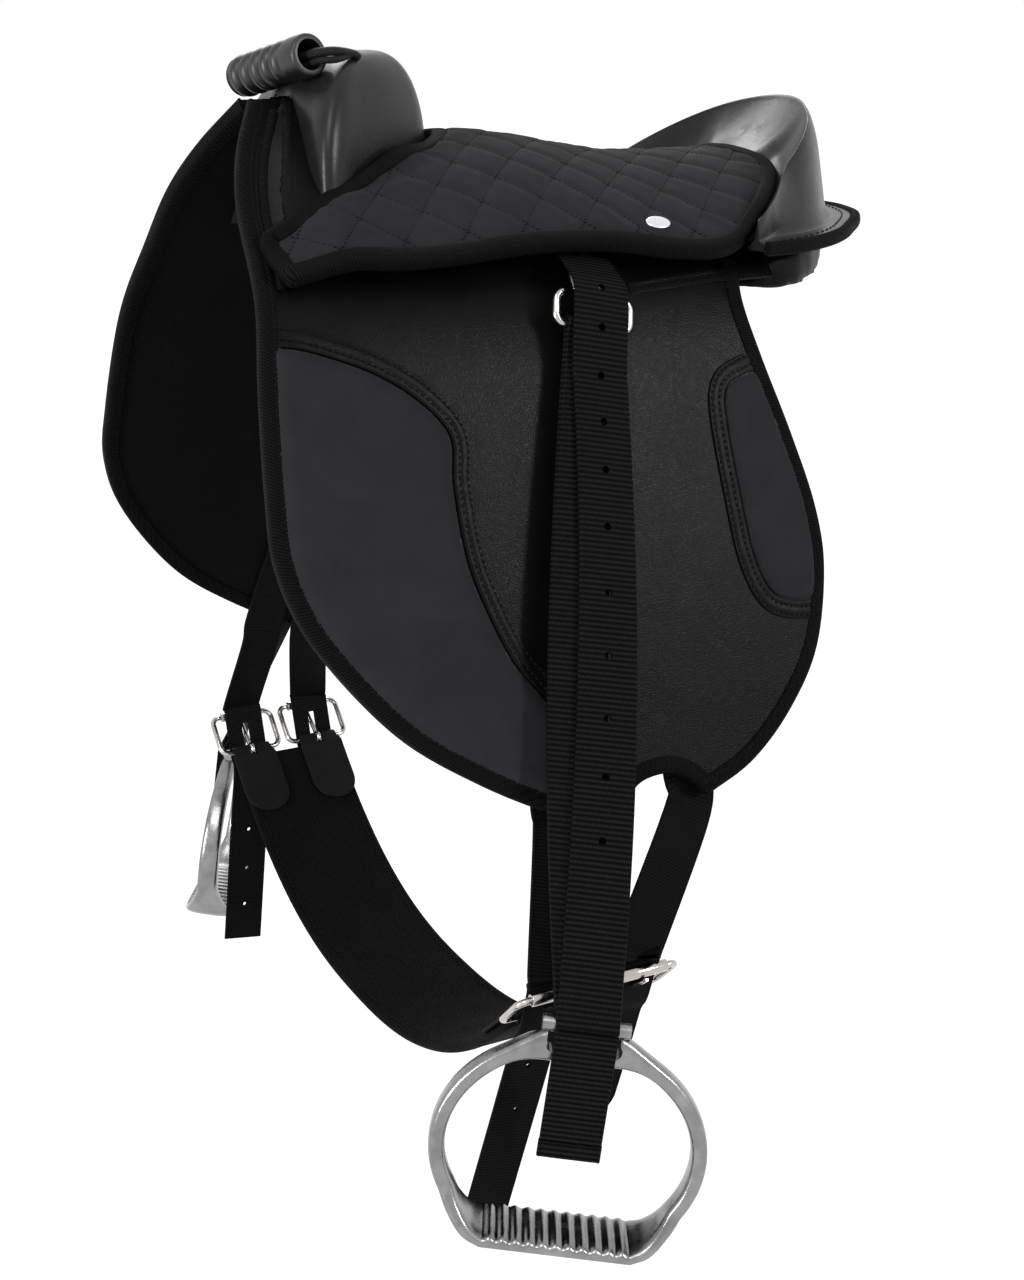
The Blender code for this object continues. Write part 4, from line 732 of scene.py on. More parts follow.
neck_profile = ((10.2, -0.3), (10.3, 0.9), (11.1, 1.9), (12.4, 2.2), (13.7, 1.9), (14.4, 0.9), (14.5, -0.3))
seam_line = evenly_spaced(through(in_mm((-6, -14.5), (16, -13), (40, -11.5), (66, -10.5), (84, -10))))
neck_line = [p for p in FLAP_RIM[:200] if p.y > -6 * MM]
for side_name, side in SIDES:
    shown(side_name + "_flap_sheet",
          skirt_cloth(sheet_outline, -FLAP_THICKNESS, flap_level(side), side, 4 * MM), leather,
          (side_name + "_flap",))
    shown(side_name + "_flap_lining_cloth",
          skirt_cloth(sheet_outline, -FLAP_THICKNESS - LINING_THICKNESS, -FLAP_THICKNESS, side, 6 * MM),
          lining_cloth, (side_name + "_flap_lining",))
    for label, line, outline in (("_front", front_line, front_outline), ("_rear", rear_line, rear_outline)):
        from_edge = finder(outline)

        def crowned(x, z):
            d = from_edge((x, z)) / MM
            ripple = 0.25 * noise.noise(Vector((x * 25, z * 25, side)))
            return (0.35 + 2.7 * (1 - math.exp(-d / 1.8)) + ripple) * MM

        name = side_name + label
        insert = shown(name + "_insert_panel", skirt_cloth(outline[::2], -1 * MM, crowned, side, 3 * MM),
                       suede, (name + "_insert",))
        shown(name + "_welt", laid_band(line, welt_profile, side, ends=9 * MM), leather)
        stitches(name + "_welt_stitches", [lay(sideways(line, -4.0 * MM), 1.3 * MM, side),
                                           lay(sideways(line, -8.5 * MM), 1.1 * MM, side)], 3.3, 2.0, 1.1)
    shown(side_name + "_edge_binding", laid_band(FLAP_RIM, tape_profile, side, 1.9 * MM, 0.16), binding_tape,
          (side_name + "_flap_binding",))
    stitches(side_name + "_edge_stitches", [lay(sideways(FLAP_RIM, 6.6 * MM), 0.95 * MM, side)],
             3.0, 2.0, 0.7)
    shown(side_name + "_top_seam", laid_band(seam_line, seam_profile, side, ends=6 * MM), leather)
    stitches(side_name + "_top_seam_stitches", [lay(sideways(seam_line, -3.4 * MM), 0.6 * MM, side)],
             3.3, 2.1, 0.9)
    shown(side_name + "_neck_tape", laid_band(neck_line, neck_profile, side, 1.9 * MM, 0.14), binding_tape,
          (side_name + "_neck_binding",))


# Pommel
# A dome of moulded coated leather over the front of the tree. It is glued on, with its foot tucked under the
# pad's binding behind and under the stitched strips at the sides.
POMMEL_TOP, POMMEL_X, POMMEL_WALL = 99 * MM, -106 * MM, 3 * MM
PAD_HALF_WIDTH, PAD_THICKNESS, PAD_EDGE = 107 * MM, 12 * MM, 5 * MM
SEAT_GAP, WING_CLEARANCE = 0.6 * MM, 3.4 * MM


def station(stations, x):
    """A smooth value between stations, each a place and its value."""
    if x <= stations[0][0]:
        return stations[0][1]
    for (x0, v0), (x1, v1) in zip(stations, stations[1:]):
        if x <= x1:
            t = (x - x0) / (x1 - x0)
            return v0 + (v1 - v0) * t * t * (3 - 2 * t)
    return stations[-1][1]


def pad_top(x, y):
    """The seat's surface: a crest along the middle that falls to both wings."""
    crest = station(((-200, 38), (-150, 51), (-60, 59), (50, 46), (95, 46), (140, 51)), x / MM) * MM
    fall = station(((-200, 49), (-60, 52), (0, 48), (40, 46), (120, 38)), x / MM) * MM
    smooth_y = math.hypot(y, 22 * MM) - 22 * MM
    height = crest - fall * (0.45 * smooth_y / PAD_HALF_WIDTH + 0.55 * (y / PAD_HALF_WIDTH) ** 2)
    over_neck = min(1.0, max(0.0, (NECK_REAR + 46 * MM - x) / (34 * MM)))
    lifted_height = max(height, skirt_height(abs(y)) + WING_CLEARANCE + PAD_EDGE)
    return height + (lifted_height - height) * over_neck * over_neck * (3 - 2 * over_neck)


def tree_top(x, y):
    return pad_top(x, y) - PAD_THICKNESS - SEAT_GAP


def pommel_floor(x, y):
    y = max(abs(y), 8 * MM)
    on_neck, on_tree = skirt_height(y) + 2.6 * SEAT_GAP, tree_top(x, y) + SEAT_GAP
    share = max(0.0, min(1.0, (NECK_REAR + 22 * MM - x) / (20 * MM)))
    return on_tree + (on_neck - on_tree) * share * share * (3 - 2 * share)


def mirrored(half):
    return half + [Vector((p.x, -p.y)) for p in reversed(half[1:-1])]


def solid_from(*grids):
    """A closed mesh from grids of points whose rows close on themselves, with fans to single points."""
    bm = bmesh.new()
    for rows, tip in grids:
        made = [[bm.verts.new(p) for p in row] for row in rows]
        turns = len(rows[0])
        for a, b in zip(made, made[1:]):
            for k in range(turns):
                bm.faces.new((a[k], a[(k + 1) % turns], b[(k + 1) % turns], b[k]))
        if tip:
            top = bm.verts.new(tip)
            for k in range(turns):
                bm.faces.new((made[-1][k], made[-1][(k + 1) % turns], top))
    bmesh.ops.remove_doubles(bm, verts=bm.verts, dist=0.000001)
    return from_bmesh(bm)


moulded_leather = leather_finish("moulded leather", (0.008, 0.008, 0.0085), (0.021, 0.0205, 0.021),
                                 (0.22, 0.34), 0.8 * MM, 18 * MM, 0.16 * MM, 0.22)
pommel_foot = mirrored(through(in_mm((-73, 0), (-81, -14), (-104, -31), (-128, -46.5), (-145, -58),
                                     (-154, -58), (-156, -46), (-152, -22), (-150, 0)), 9))
pommel_centre = Vector((POMMEL_X, 0))
POMMEL_ROWS = 44
dome, under = [], []
for i in range(POMMEL_ROWS):
    rise = math.sin(math.pi / 2 * i / POMMEL_ROWS)
    share = (1 - rise ** 2.1) ** (1 / 2.6)
    row = []
    for q in pommel_foot:
        p = pommel_centre + (q - pommel_centre) * share
        base = pommel_floor(q.x, q.y) + POMMEL_WALL
        z = max(base + (POMMEL_TOP - base) * rise, pommel_floor(p.x, p.y) + POMMEL_WALL)
        row.append(Vector((p.x, p.y, z)))
    dome.append(row)
    if i % 4 == 0:
        under.append([Vector((p.x, p.y, pommel_floor(p.x, p.y))) for p in row])
pommel_mesh = solid_from(([under[0], dome[0]], None), (dome, Vector((POMMEL_X, 0, POMMEL_TOP))),
                         (under, Vector((POMMEL_X, 0, pommel_floor(POMMEL_X, 0)))))
shown("pommel_shell", pommel_mesh, moulded_leather, ("pommel",), sharp=60)


# Pommel strips and withers cloth
# A stitched leather strip covers the pommel's edge on each side of the neck. In front of it the neck is
# faced with plain dark cloth that has two seams across.
strip_outline = evenly_spaced(in_mm((-155, 76), (-136, 76), (-138, 62), (-141, 48), (-146, 30), (-152, 8),
                                    (-170, 6), (-182, 7), (-174.5, 34), (-163.5, 56)), closed=True)
strip_line = evenly_spaced(in_mm((-151.5, 75), (-160, 56), (-170.5, 34), (-177.5, 12)))
cloth_front = [p for p in sideways(FLAP_RIM, 13.2 * MM) if p.y > 3 * MM]
cloth_outline = evenly_spaced(cloth_front + in_mm((-188, 2), (-182, 4), (-180, 16), (-173, 34), (-163, 56),
                                                  (-153, 76)), closed=True)
from_rim = finder(strip_outline)


def strip_level(x, z):
    return (0.4 + 2.1 * (1 - math.exp(-from_rim((x, z)) / (0.9 * MM)))) * MM


for side_name, side in SIDES:
    def cloth_level(x, z):
        seam = min(abs(z - 59.3 * MM), abs(z - 34.5 * MM)) / MM
        return (0.75 - 0.6 * math.exp(-seam * seam) + 0.25 * noise.noise(Vector((x * 60, z * 60, side)))) * MM

    shown(side_name + "_withers_cloth", skirt_cloth(cloth_outline[::2], -0.8 * MM, cloth_level, side, 2 * MM),
          suede)
    shown(side_name + "_pommel_strip", skirt_cloth(strip_outline, -0.2 * MM, strip_level, side, 2 * MM),
          leather, (side_name + "_pommel_flange",))
    stitches(side_name + "_pommel_strip_stitches", [lay(strip_line, 2.45 * MM, side)], 4.6, 3.2, 0.8)


# Cantle
# The dish that stops the rider sliding back: moulded coated leather with a rolled rim, a sloping back and a
# thin flange that is stitched down all round.
CANTLE_X, CANTLE_SWEEP = 60 * MM, math.radians(88)


def cantle_radii(angle):
    a = abs(math.degrees(angle))
    inner = station(((0, 60), (20, 63.5), (34, 74), (50, 80), (69, 87), (90, 108)), a) * MM
    rim = station(((0, 95), (30, 92), (62, 92), (90, 110)), a) * MM
    foot = station(((0, 110), (45, 104), (75, 101), (90, 112)), a) * MM
    flange = station(((0, 125), (20, 122), (45, 115.5), (90, 116)), a) * MM
    return inner, max(rim, inner + 2 * MM), max(foot, inner + 4 * MM), max(flange, foot + 2 * MM)


def flange_height(angle):
    return 13 * MM - 9 * MM * math.sin(abs(angle)) ** 2


def cantle_place(angle, radius, z):
    return Vector((CANTLE_X + radius * math.cos(angle), radius * math.sin(angle), z))


def swept(steps, share=1.0):
    """Angles from one end of the cantle to the other."""
    return [CANTLE_SWEEP * share * (i / steps - 1) for i in range(2 * steps + 1)]


cantle_rings = []
for angle in swept(56):
    inner, rim, foot, flange = cantle_radii(angle)
    low = flange_height(angle)
    height = (13 + 62 * max(0.0, math.cos(angle)) ** 0.95) * MM
    start = cantle_place(angle, inner, 0)
    pad_level = max(pad_top(start.x, start.y) - 2 * MM, low + 1 * MM)
    height = max(height, pad_level + 1 * MM)
    profile = [(inner - 5 * MM, pad_level - 3.5 * MM), (inner, pad_level)]
    profile += [(inner + (rim - inner) * share, pad_level + (height - pad_level) * share ** 1.35)
                for share in (0.2, 0.4, 0.6, 0.78, 0.92)]
    profile.append((rim, height))
    profile += [(rim + (foot - rim) * share, height - (height - low) * fall)
                for share, fall in ((0.1, 0.02), (0.26, 0.09), (0.5, 0.28), (0.78, 0.66), (0.93, 0.87))]
    profile += [(foot + (flange - foot) * 0.14, low + 0.9 * MM),
                (foot + (flange - foot) * 0.45, low + 0.3 * MM), (flange - 0.6 * MM, low)]
    top = through([(*p, 0) for p in profile], 4)
    ring = [cantle_place(angle, p.x, p.y) for p in top]
    for dimple in (-0.085, 0.085):
        for p in ring[4:24]:
            aside = (math.atan2(p.y, p.x - CANTLE_X) - dimple) * inner / (2.2 * MM)
            rise = (p.z - pad_level - 9 * MM) / (2.2 * MM)
            p.z -= 0.7 * MM * math.exp(-aside * aside - rise * rise)
    ring += [cantle_place(angle, flange, low - 0.7 * MM), cantle_place(angle, flange, low - 3 * MM)]
    for p in reversed(top[::6]):
        q = cantle_place(angle, p.x, 0)
        floor_level = low - 4 * MM
        if q.x <= 159 * MM and abs(q.y) <= 70 * MM:
            floor_level = max(floor_level, tree_top(q.x, q.y) + 1.2 * SEAT_GAP)
        ring.append(cantle_place(angle, p.x, min(floor_level, p.y - 2 * MM)))
    cantle_rings.append(ring)
shown("cantle_dish", skin(cantle_rings), moulded_leather, ("cantle",), sharp=50)
cantle_seam = []
for angle in swept(70, 0.93):
    radius = cantle_radii(angle)[2] * 0.35 + cantle_radii(angle)[3] * 0.65
    cantle_seam.append((cantle_place(angle, radius, flange_height(angle) + 0.35 * MM), Vector((0, 0, 1))))
stitches("cantle_stitches", [cantle_seam], 6.2, 4.4, 1.0)


# Cantle edge tape
# Ribbed tape folded over the edge of the panel under the cantle's flange. It carries on from the tape round
# the flaps.
def woven_band(rows, profile, pitch, rib, closed=False, level=0.25):
    """A band along rows of place, across and outward. profile is its section in millimetres, and its ribs
    stand on every part of it that lies further out or in than level."""
    rings = []
    for i, (p, across, outward) in enumerate(evenly(rows, pitch * MM / 4, closed)):
        outward = outward.normalized()
        wave = math.cos(math.pi / 2 * i) * rib
        ribbed = [(a, n + (math.copysign(wave, n) if abs(n) > level else 0.0)) for a, n in profile]
        rings.append([p + (across * a + outward * n) * MM for a, n in ribbed])
    return skin(rings, closed)


def oval(width, height, sides, power, start=0.0):
    """An ellipse's points, squarer for a lower power."""
    return [(width / 2 * math.copysign(abs(c) ** power, c), height / 2 * math.copysign(abs(s) ** power, s))
            for c, s in circle(sides, start)]


edge_rows = [[cantle_place(angle, cantle_radii(angle)[3] + 2.7 * MM, flange_height(angle) - 2.4 * MM),
              Vector((math.cos(angle), math.sin(angle), 0)), Vector((0, 0, 1))] for angle in swept(60)]
shown("cantle_edge_tape", woven_band(edge_rows, oval(5.6, 7.2, 20, 0.8), 1.9, 0.14), binding_tape,
      ("cantle_bead",))


# Seat pad
# Foam between two layers of suede-like cloth, quilted in diamonds and bound all round with ribbed tape.
# The quilting holds the top down along every stitched line, and the foam swells between the lines.
QUILT_PITCH, PAD_BINDING, PUFF = 23 * MM, 3.6 * MM, 0.75 * MM
DISC_X, DISC_Y = 12 * MM, 96 * MM


def pad_rim(grow):
    """The pad's outline in plan, drawn in by a distance."""
    front = in_mm((-69, 0), (-80, -17), (-108, -36), (-132, -48), (-153, -57), (-177, -67), (-196, -74))
    side = in_mm((-192, -100), (-150, -106), (-100, -109.5), (-40, -109), (0, -109.5), (35, -110), (54, -107))
    rear = in_mm((63, -103), (78, -92), (95, -78), (114, -56), (120, -38), (118, -18), (116, 0))
    half = through(front, 6) + through(side, 6) + through(rear, 6)[:-1] + [Vector((115 * MM, 0))]
    rim = smoothed(evenly_spaced(mirrored(half), closed=True), 4, True)
    return evenly_spaced(sideways(rim, grow, True), closed=True)


def pad_underside(x, y):
    height = pad_top(x, y) - PAD_THICKNESS
    if x < NECK_REAR + 24 * MM:
        height = max(height, skirt_height(abs(y)) + WING_CLEARANCE)
    bevel = pad_top(x, y) - 2.4 * MM - from_pad_edge((x, y)) * 1.1
    return max(min(height, pad_top(x, y) - PAD_EDGE), bevel)


def quilt_depth(x, y):
    """How far a place is from the nearest stitched line."""
    return min(abs((d / QUILT_PITCH + 0.5) % 1.0 - 0.5) * QUILT_PITCH
               for d in ((x + y) / math.sqrt(2), (x - y) / math.sqrt(2)))


pad_edge = pad_rim(PAD_BINDING + 1.0 * MM)
from_pad_edge = finder(pad_edge)
cell = QUILT_PITCH / 6
bm, lifted = gridded([(p.x, p.y, 0) for p in pad_edge[::2]],
                     [((i * cell * math.sqrt(2), 0, 0), normal) for normal in ((1, 1, 0), (1, -1, 0))
                      for i in range(-70, 71)], 0.00002)
free = {}
bm.verts.index_update()
for v in bm.verts:
    x, y = v.co.x, v.co.y
    near_edge = from_pad_edge((x, y))
    if v in lifted:
        groove = math.exp(-quilt_depth(x, y) / (1.5 * MM)) * 0.4 * MM
        v.co.z = pad_top(x, y) + 0.5 * MM - groove - 1.3 * MM * math.exp(-near_edge / (2.5 * MM))
        if quilt_depth(x, y) > 0.3 * MM and near_edge > 0.8 * MM:
            free[v.index] = v.co.copy()
    else:
        v.co.z = pad_underside(x, y)
pad_mesh = from_bmesh(bm)
swelling = linked("quilted_pad", pad_mesh)
held = swelling.vertex_groups.new(name="held")
held.add([v.index for v in pad_mesh.vertices if v.index not in free], 1.0, "REPLACE")
cloth = swelling.modifiers.new("swell", "CLOTH")
cloth.settings.use_pressure = True
cloth.settings.uniform_pressure_force = 4.0
cloth.settings.effector_weights.gravity = 0.0
cloth.settings.vertex_group_mass = "held"
cloth.settings.quality = 4
cloth.settings.tension_stiffness = 12.0
cloth.settings.bending_stiffness = 0.4
cloth.settings.shrink_min = -0.03
cloth.point_cache.frame_start, cloth.point_cache.frame_end = 1, 20
for number in range(1, 21):
    bpy.context.scene.frame_set(number)
swollen = baked(swelling)
bpy.context.scene.frame_set(1)
for i, rest in free.items():
    move = swollen.vertices[i].co - rest
    pad_mesh.vertices[i].co = rest + move * (min(move.length, PUFF) / max(move.length, 0.000001))
for i in free:
    p = pad_mesh.vertices[i].co
    if math.hypot(p.x - DISC_X, abs(p.y) - DISC_Y) < 8.5 * MM:
        p.z = pad_top(p.x, p.y) + 1.5 * MM
pad_piece = shown("quilted_pad", pad_mesh, suede, ("seat_pad",), sharp=70)
softened = pad_piece.modifiers.new("softened", "SUBSURF")
softened.levels = softened.render_levels = 1


def crossings(normal, offset, outline):
    """Where a line with this normal enters and leaves a flat outline, in order along it."""
    along = Vector((normal.y, -normal.x))
    found = []
    for k, b in enumerate(outline):
        a = outline[k - 1]
        da, db = a.dot(normal) - offset, b.dot(normal) - offset
        if da * db < 0:
            found.append((a + (b - a) * (da / (da - db))).dot(along))
    found.sort()
    return list(zip(found[::2], found[1::2]))


quilt_runs = []
for normal in (Vector((1, 1)).normalized(), Vector((1, -1)).normalized()):
    along = Vector((normal.y, -normal.x))
    for i in range(-14, 15):
        for low, high in crossings(normal, i * QUILT_PITCH, pad_edge):
            if high - low > 12 * MM:
                steps = int((high - low) / (2 * MM))
                start, reach = low + 2 * MM, high - low - 4 * MM
                places = [normal * (i * QUILT_PITCH) + along * (start + reach * k / steps)
                          for k in range(steps + 1)]
                quilt_runs.append([(Vector((p.x, p.y, pad_top(p.x, p.y) + 0.3 * MM)), Vector((0, 0, 1)))
                                   for p in places])
stitches("quilt_stitches", quilt_runs, 2.7, 1.6, 1.0)
binding_rows = []
binding_path = pad_rim(PAD_BINDING)
for k, p in enumerate(binding_path):
    run = run_at(binding_path, k, 2, True)
    out = Vector((run.y, -run.x, 0))
    dx, dy = out.x * 2 * MM, out.y * 2 * MM
    slope = pad_top(p.x + dx, p.y + dy) - pad_top(p.x - dx, p.y - dy)
    across = Vector((out.x, out.y, max(-1.0, min(1.0, slope / (4 * MM))))).normalized()
    outward = Vector((run.x, run.y, 0)).cross(across)
    binding_rows.append([Vector((p.x, p.y, pad_top(p.x, p.y) - PAD_EDGE / 2)), across,
                         outward if outward.z > 0 else -outward])
binding_rows = zip(*(smoothed(column, 3, True) for column in zip(*binding_rows)))
tape_section = [(a - 1.1, n - 1.3) for a, n in oval(9.6, 9.6, 24, 0.6)]
shown("pad_edge_tape", woven_band(binding_rows, tape_section, 1.5, 0.09, True, 0.6), binding_tape,
      ("seat_pad_binding",))


# Edge discs
# A small bare domed metal disc, pressed on to the pad's lower edge on each side.
blank_metal = metal_finish("bright metal", (0.68, 0.68, 0.70), (0.86, 0.86, 0.88), (0.22, 0.34), 900.0,
                           0.02 * MM)
disc_profile = ((6.3, -0.55), (6.8, -0.4), (7.0, -0.1), (6.9, 0.2), (6.5, 0.45), (5.8, 0.6), (4.0, 0.8),
                (2.0, 0.9))
for side_name, side in SIDES:
    place = Vector((DISC_X, side * DISC_Y, pad_top(DISC_X, DISC_Y) + 2.3 * MM))
    turn = Matrix.Rotation(-side * math.radians(32), 4, "X")
    rows = [[place + turn @ (Vector((radius * c, radius * 0.7 * s, height)) * MM) for c, s in circle(40)]
            for radius, height in disc_profile]
    mesh = solid_from(([rows[0]], place + turn @ Vector((0, 0, -0.55 * MM))),
                      (rows, place + turn @ Vector((0, 0, 0.95 * MM))))
    shown(side_name + "_edge_disc", mesh, blank_metal, (side_name + "_badge",), sharp=50)


# Girth
# A belt of finely ribbed webbing sewn double. It hangs from the buckles on both sides in one long curve.
GIRTH_X, GIRTH_HALF_SPAN, GIRTH_LOW, GIRTH_RISE, GIRTH_POWER = -90 * MM, 196 * MM, -434 * MM, 80 * MM, 2.4
GIRTH_THICKNESS = 5 * MM


def strap_section(width, thick):
    """A flat strap's section in millimetres: level in the middle, with a rolled selvedge at each edge."""
    top = [(0.5, 0.0), (0.492, 0.62), (0.474, 0.95), (0.455, 0.98), (0.436, 0.78), (0.40, 0.86), (0.25, 0.9)]
    top += [(0.0, 0.9)] + [(-a, n) for a, n in reversed(top)]
    return [(a * width, n * thick / 2) for a, n in top] + [(a * width, -n * thick / 2)
                                                           for a, n in reversed(top[1:-1])]


def girth_frame(y):
    """The belt's middle, its direction outwards along the belt, and its upper normal."""
    reach, side = abs(y) / GIRTH_HALF_SPAN, 1 if y >= 0 else -1
    slope = GIRTH_RISE * GIRTH_POWER / GIRTH_HALF_SPAN * reach ** (GIRTH_POWER - 1)
    middle = Vector((GIRTH_X, y, GIRTH_LOW + GIRTH_RISE * reach ** GIRTH_POWER))
    return middle, Vector((0, side, slope)).normalized(), Vector((0, -side * slope, 1)).normalized()


webbing = webbing_finish("strap webbing", (0.0006, 0.0006, 0.0006), (0.023, 0.0228, 0.023), 2.6 * MM,
                         1.15 * MM, 0.6 * MM, (0.5, 0.66))
girth_webbing = webbing_finish("girth webbing", (0.001, 0.001, 0.001), (0.014, 0.014, 0.0143), 2.5 * MM,
                               1.2 * MM, 0.5 * MM, (0.6, 0.75), 1.66)
girth_rows = []
for i in range(121):
    y = GIRTH_HALF_SPAN * math.sin(math.pi / 2 * (i / 60 - 1))
    p, _, normal = girth_frame(y)
    corner = max(0.0, 1 - (GIRTH_HALF_SPAN - abs(y)) / (9 * MM))
    girth_rows.append([p, Vector((1 - 0.12 * corner * corner, 0, 0)), normal])
shown("girth_belt", woven_band(girth_rows, strap_section(75, 5), 6, 0.0), girth_webbing,
      ("girth",))
stitches("girth_edge_stitches",
         [[(p + Vector((across.x * edge * MM, 0, 0)) + normal * 2.3 * MM, normal)
           for p, across, normal in girth_rows[3:-3]] for edge in (-32.5, 32.5)], 3.6, 2.6, 0.7)


# Girth buckles
# Nickel-plated wire frames with a free roller on the upper bar and a tongue on the lower bar, two at each end
# of the belt.
BUCKLE_WIDTH, BUCKLE_HEIGHT, BUCKLE_WIRE, BUCKLE_PITCH = 41 * MM, 27 * MM, 1.8 * MM, 48 * MM
ROLLER_RADIUS, TONGUE_RADIUS, GAP = 3.1 * MM, 1.5 * MM, 0.3 * MM
X_AXIS = Vector((1, 0, 0))


def buckle_place(side, row):
    """The middle of the buckle's lower bar, and its directions along the strap and outwards."""
    end, along, normal = girth_frame(side * GIRTH_HALF_SPAN)
    clear = BUCKLE_WIRE + 2 * TONGUE_RADIUS + 2 * GAP
    return end + X_AXIS * (row * BUCKLE_PITCH / 2) + along * clear, along, -normal


def wire_frame(place, along, across, width, height, corner=5 * MM, steps=8):
    points = []
    for cx, cy, start in ((width / 2 - corner, corner, -90), (width / 2 - corner, height - corner, 0),
                          (corner - width / 2, height - corner, 90), (corner - width / 2, corner, 180)):
        for k in range(steps + 1):
            a = math.radians(start + 90 * k / steps)
            points.append(place + across * (cx + corner * math.cos(a)) + along * (cy + corner * math.sin(a)))
    return points


def joined(*meshes):
    bm = bmesh.new()
    for mesh in meshes:
        bm.from_mesh(mesh)
        bpy.data.meshes.remove(mesh)
    mesh = bpy.data.meshes.new("piece")
    bm.to_mesh(mesh)
    bm.free()
    return mesh


def turned(place, axis, across, outer, profile, sides=32):
    """A ring-shaped piece turned about an axis, from its closed section of (place along, radius)."""
    return skin([[place + axis * at + (across * c + outer * s) * r for c, s in circle(sides)]
                 for at, r in profile], True)


def hoop(path, radius, sides):
    return skin(round_rings(path, radius, sides, True), True)


BUCKLES = [(f"{side_name}_{label}", side, row, *buckle_place(side, row)) for side_name, side in SIDES
           for label, row in (("front", -1), ("rear", 1))]
half, bend = BUCKLE_WIDTH / 2 - 6.5 * MM, BUCKLE_WIRE + GAP / 2 + TONGUE_RADIUS
roller_end = [(half, BUCKLE_WIRE + GAP / 2), (half, ROLLER_RADIUS - 0.4 * MM),
              (half - 0.15 * MM, ROLLER_RADIUS - 0.1 * MM), (half - 0.4 * MM, ROLLER_RADIUS)]
roller_profile = [(-at, r) for at, r in roller_end] + roller_end[::-1]
for name, side, row, place, along, outer in BUCKLES:
    buckle = name + "_buckle"
    frame_path = wire_frame(place, along, X_AXIS, BUCKLE_WIDTH, BUCKLE_HEIGHT)
    shown(buckle + "_wire", hoop(frame_path, BUCKLE_WIRE, 14), nickel, (buckle + "_frame",))
    shown(buckle + "_roller_tube",
          turned(place + along * BUCKLE_HEIGHT, X_AXIS, along, outer, roller_profile), nickel,
          (buckle + "_roller",), buckle + "_roller")
    eye_path = [place + (along * c + outer * s) * bend for c, s in circle(28)]
    reach = along * (BUCKLE_HEIGHT + 2 * MM) + outer * (ROLLER_RADIUS + TONGUE_RADIUS + 2 * GAP)
    pin_path = [(place + along * bend).lerp(place + reach, k / 10) for k in range(11)]
    pin_rings = round_rings(pin_path, TONGUE_RADIUS, 14, sizes=[1.0] * 9 + [0.85, 0.45])
    shown(buckle + "_tongue_pin", joined(hoop(eye_path, TONGUE_RADIUS, 12), skin(pin_rings)), nickel,
          (buckle + "_tongue",), buckle + "_tongue")


# Chapes
# Rounded leather patches sewn on the belt's ends. Each folds round its buckle's lower bar and has a slot for
# the tongue.
def cut_out(mesh, cutters):
    """Takes closed cutter meshes out of a mesh, and keeps its UV map."""
    obj = linked("cut", mesh)
    tools = [linked("tool", cutter) for cutter in cutters]
    for tool in tools:
        mod = obj.modifiers.new("cut", "BOOLEAN")
        mod.operation, mod.solver, mod.object = "DIFFERENCE", "EXACT", tool
    result = baked(obj)
    for tool in tools:
        bpy.data.objects.remove(tool)
    return result


def tongue_slot(middle, along, outer, length):
    """A block that cuts the slot which a buckle's tongue stands in."""
    bm = bmesh.new()
    bmesh.ops.create_cube(bm, size=1.0)
    sides = X_AXIS * (2 * TONGUE_RADIUS + 2 * MM), along * length, outer * (16 * MM)
    bm.transform(Matrix.Translation(middle) @ Matrix(sides).transposed().to_4x4())
    return from_bmesh(bm)


CHAPE_WIDTH, CHAPE_LENGTH, CHAPE_THICKNESS = 30 * MM, 46 * MM, 1.6 * MM
chape_leather = leather_finish("chape leather", (0.005, 0.005, 0.005), (0.012, 0.012, 0.0125), (0.55, 0.7),
                               0.9 * MM, 14 * MM, 0.3 * MM)
chape_section = ((15, 0), (14.8, 0.55), (14.3, 0.8), (7, 0.8), (0, 0.85), (-7, 0.8), (-14.3, 0.8),
                 (-14.8, 0.55), (-15, 0), (-14.8, -0.55), (-14.3, -0.8), (0, -0.8), (14.3, -0.8),
                 (14.8, -0.55))
for name, side, row, place, along, outer in BUCKLES:
    chape_rows, seam = [], []
    for i in range(31):
        share = 1 - i / 30
        p, _, normal = girth_frame(side * (GIRTH_HALF_SPAN - CHAPE_LENGTH * 0.72 * share))
        lift = GIRTH_THICKNESS / 2 + 1.6 * GAP + CHAPE_THICKNESS / 2
        p += X_AXIS * (row * BUCKLE_PITCH / 2) + normal * lift
        rounded = math.sqrt(max(0.0, 1 - ((share - 0.62) / 0.383) ** 2)) if share > 0.62 else 1.0
        chape_rows.append([p, X_AXIS * max(0.12, rounded), normal])
        seam.append((p + normal * 0.8 * MM, normal, CHAPE_WIDTH / 2 * rounded - 2.2 * MM))
    for k in range(13):
        a = math.radians(90 - 15 * k)
        radial = along * math.cos(a) - outer * math.sin(a)
        chape_rows.append([place + radial * (BUCKLE_WIRE + GAP + CHAPE_THICKNESS / 2), X_AXIS * 0.84, radial])
    slot = tongue_slot(place, along, outer, 2 * (BUCKLE_WIRE + 2 * TONGUE_RADIUS + 1.5 * GAP))
    patch_mesh = cut_out(woven_band(chape_rows, chape_section, 4, 0.0), [slot])
    shown(name + "_chape_patch", patch_mesh, chape_leather, (name + "_chape",))
    edge = [(p + X_AXIS * max(0.4 * MM, w), n) for p, n, w in reversed(seam[2:-3])]
    edge += [(p - X_AXIS * max(0.4 * MM, w), n) for p, n, w in seam[2:-3]]
    stitches(name + "_chape_stitches", [edge], 3.2, 2.4, 0.65)


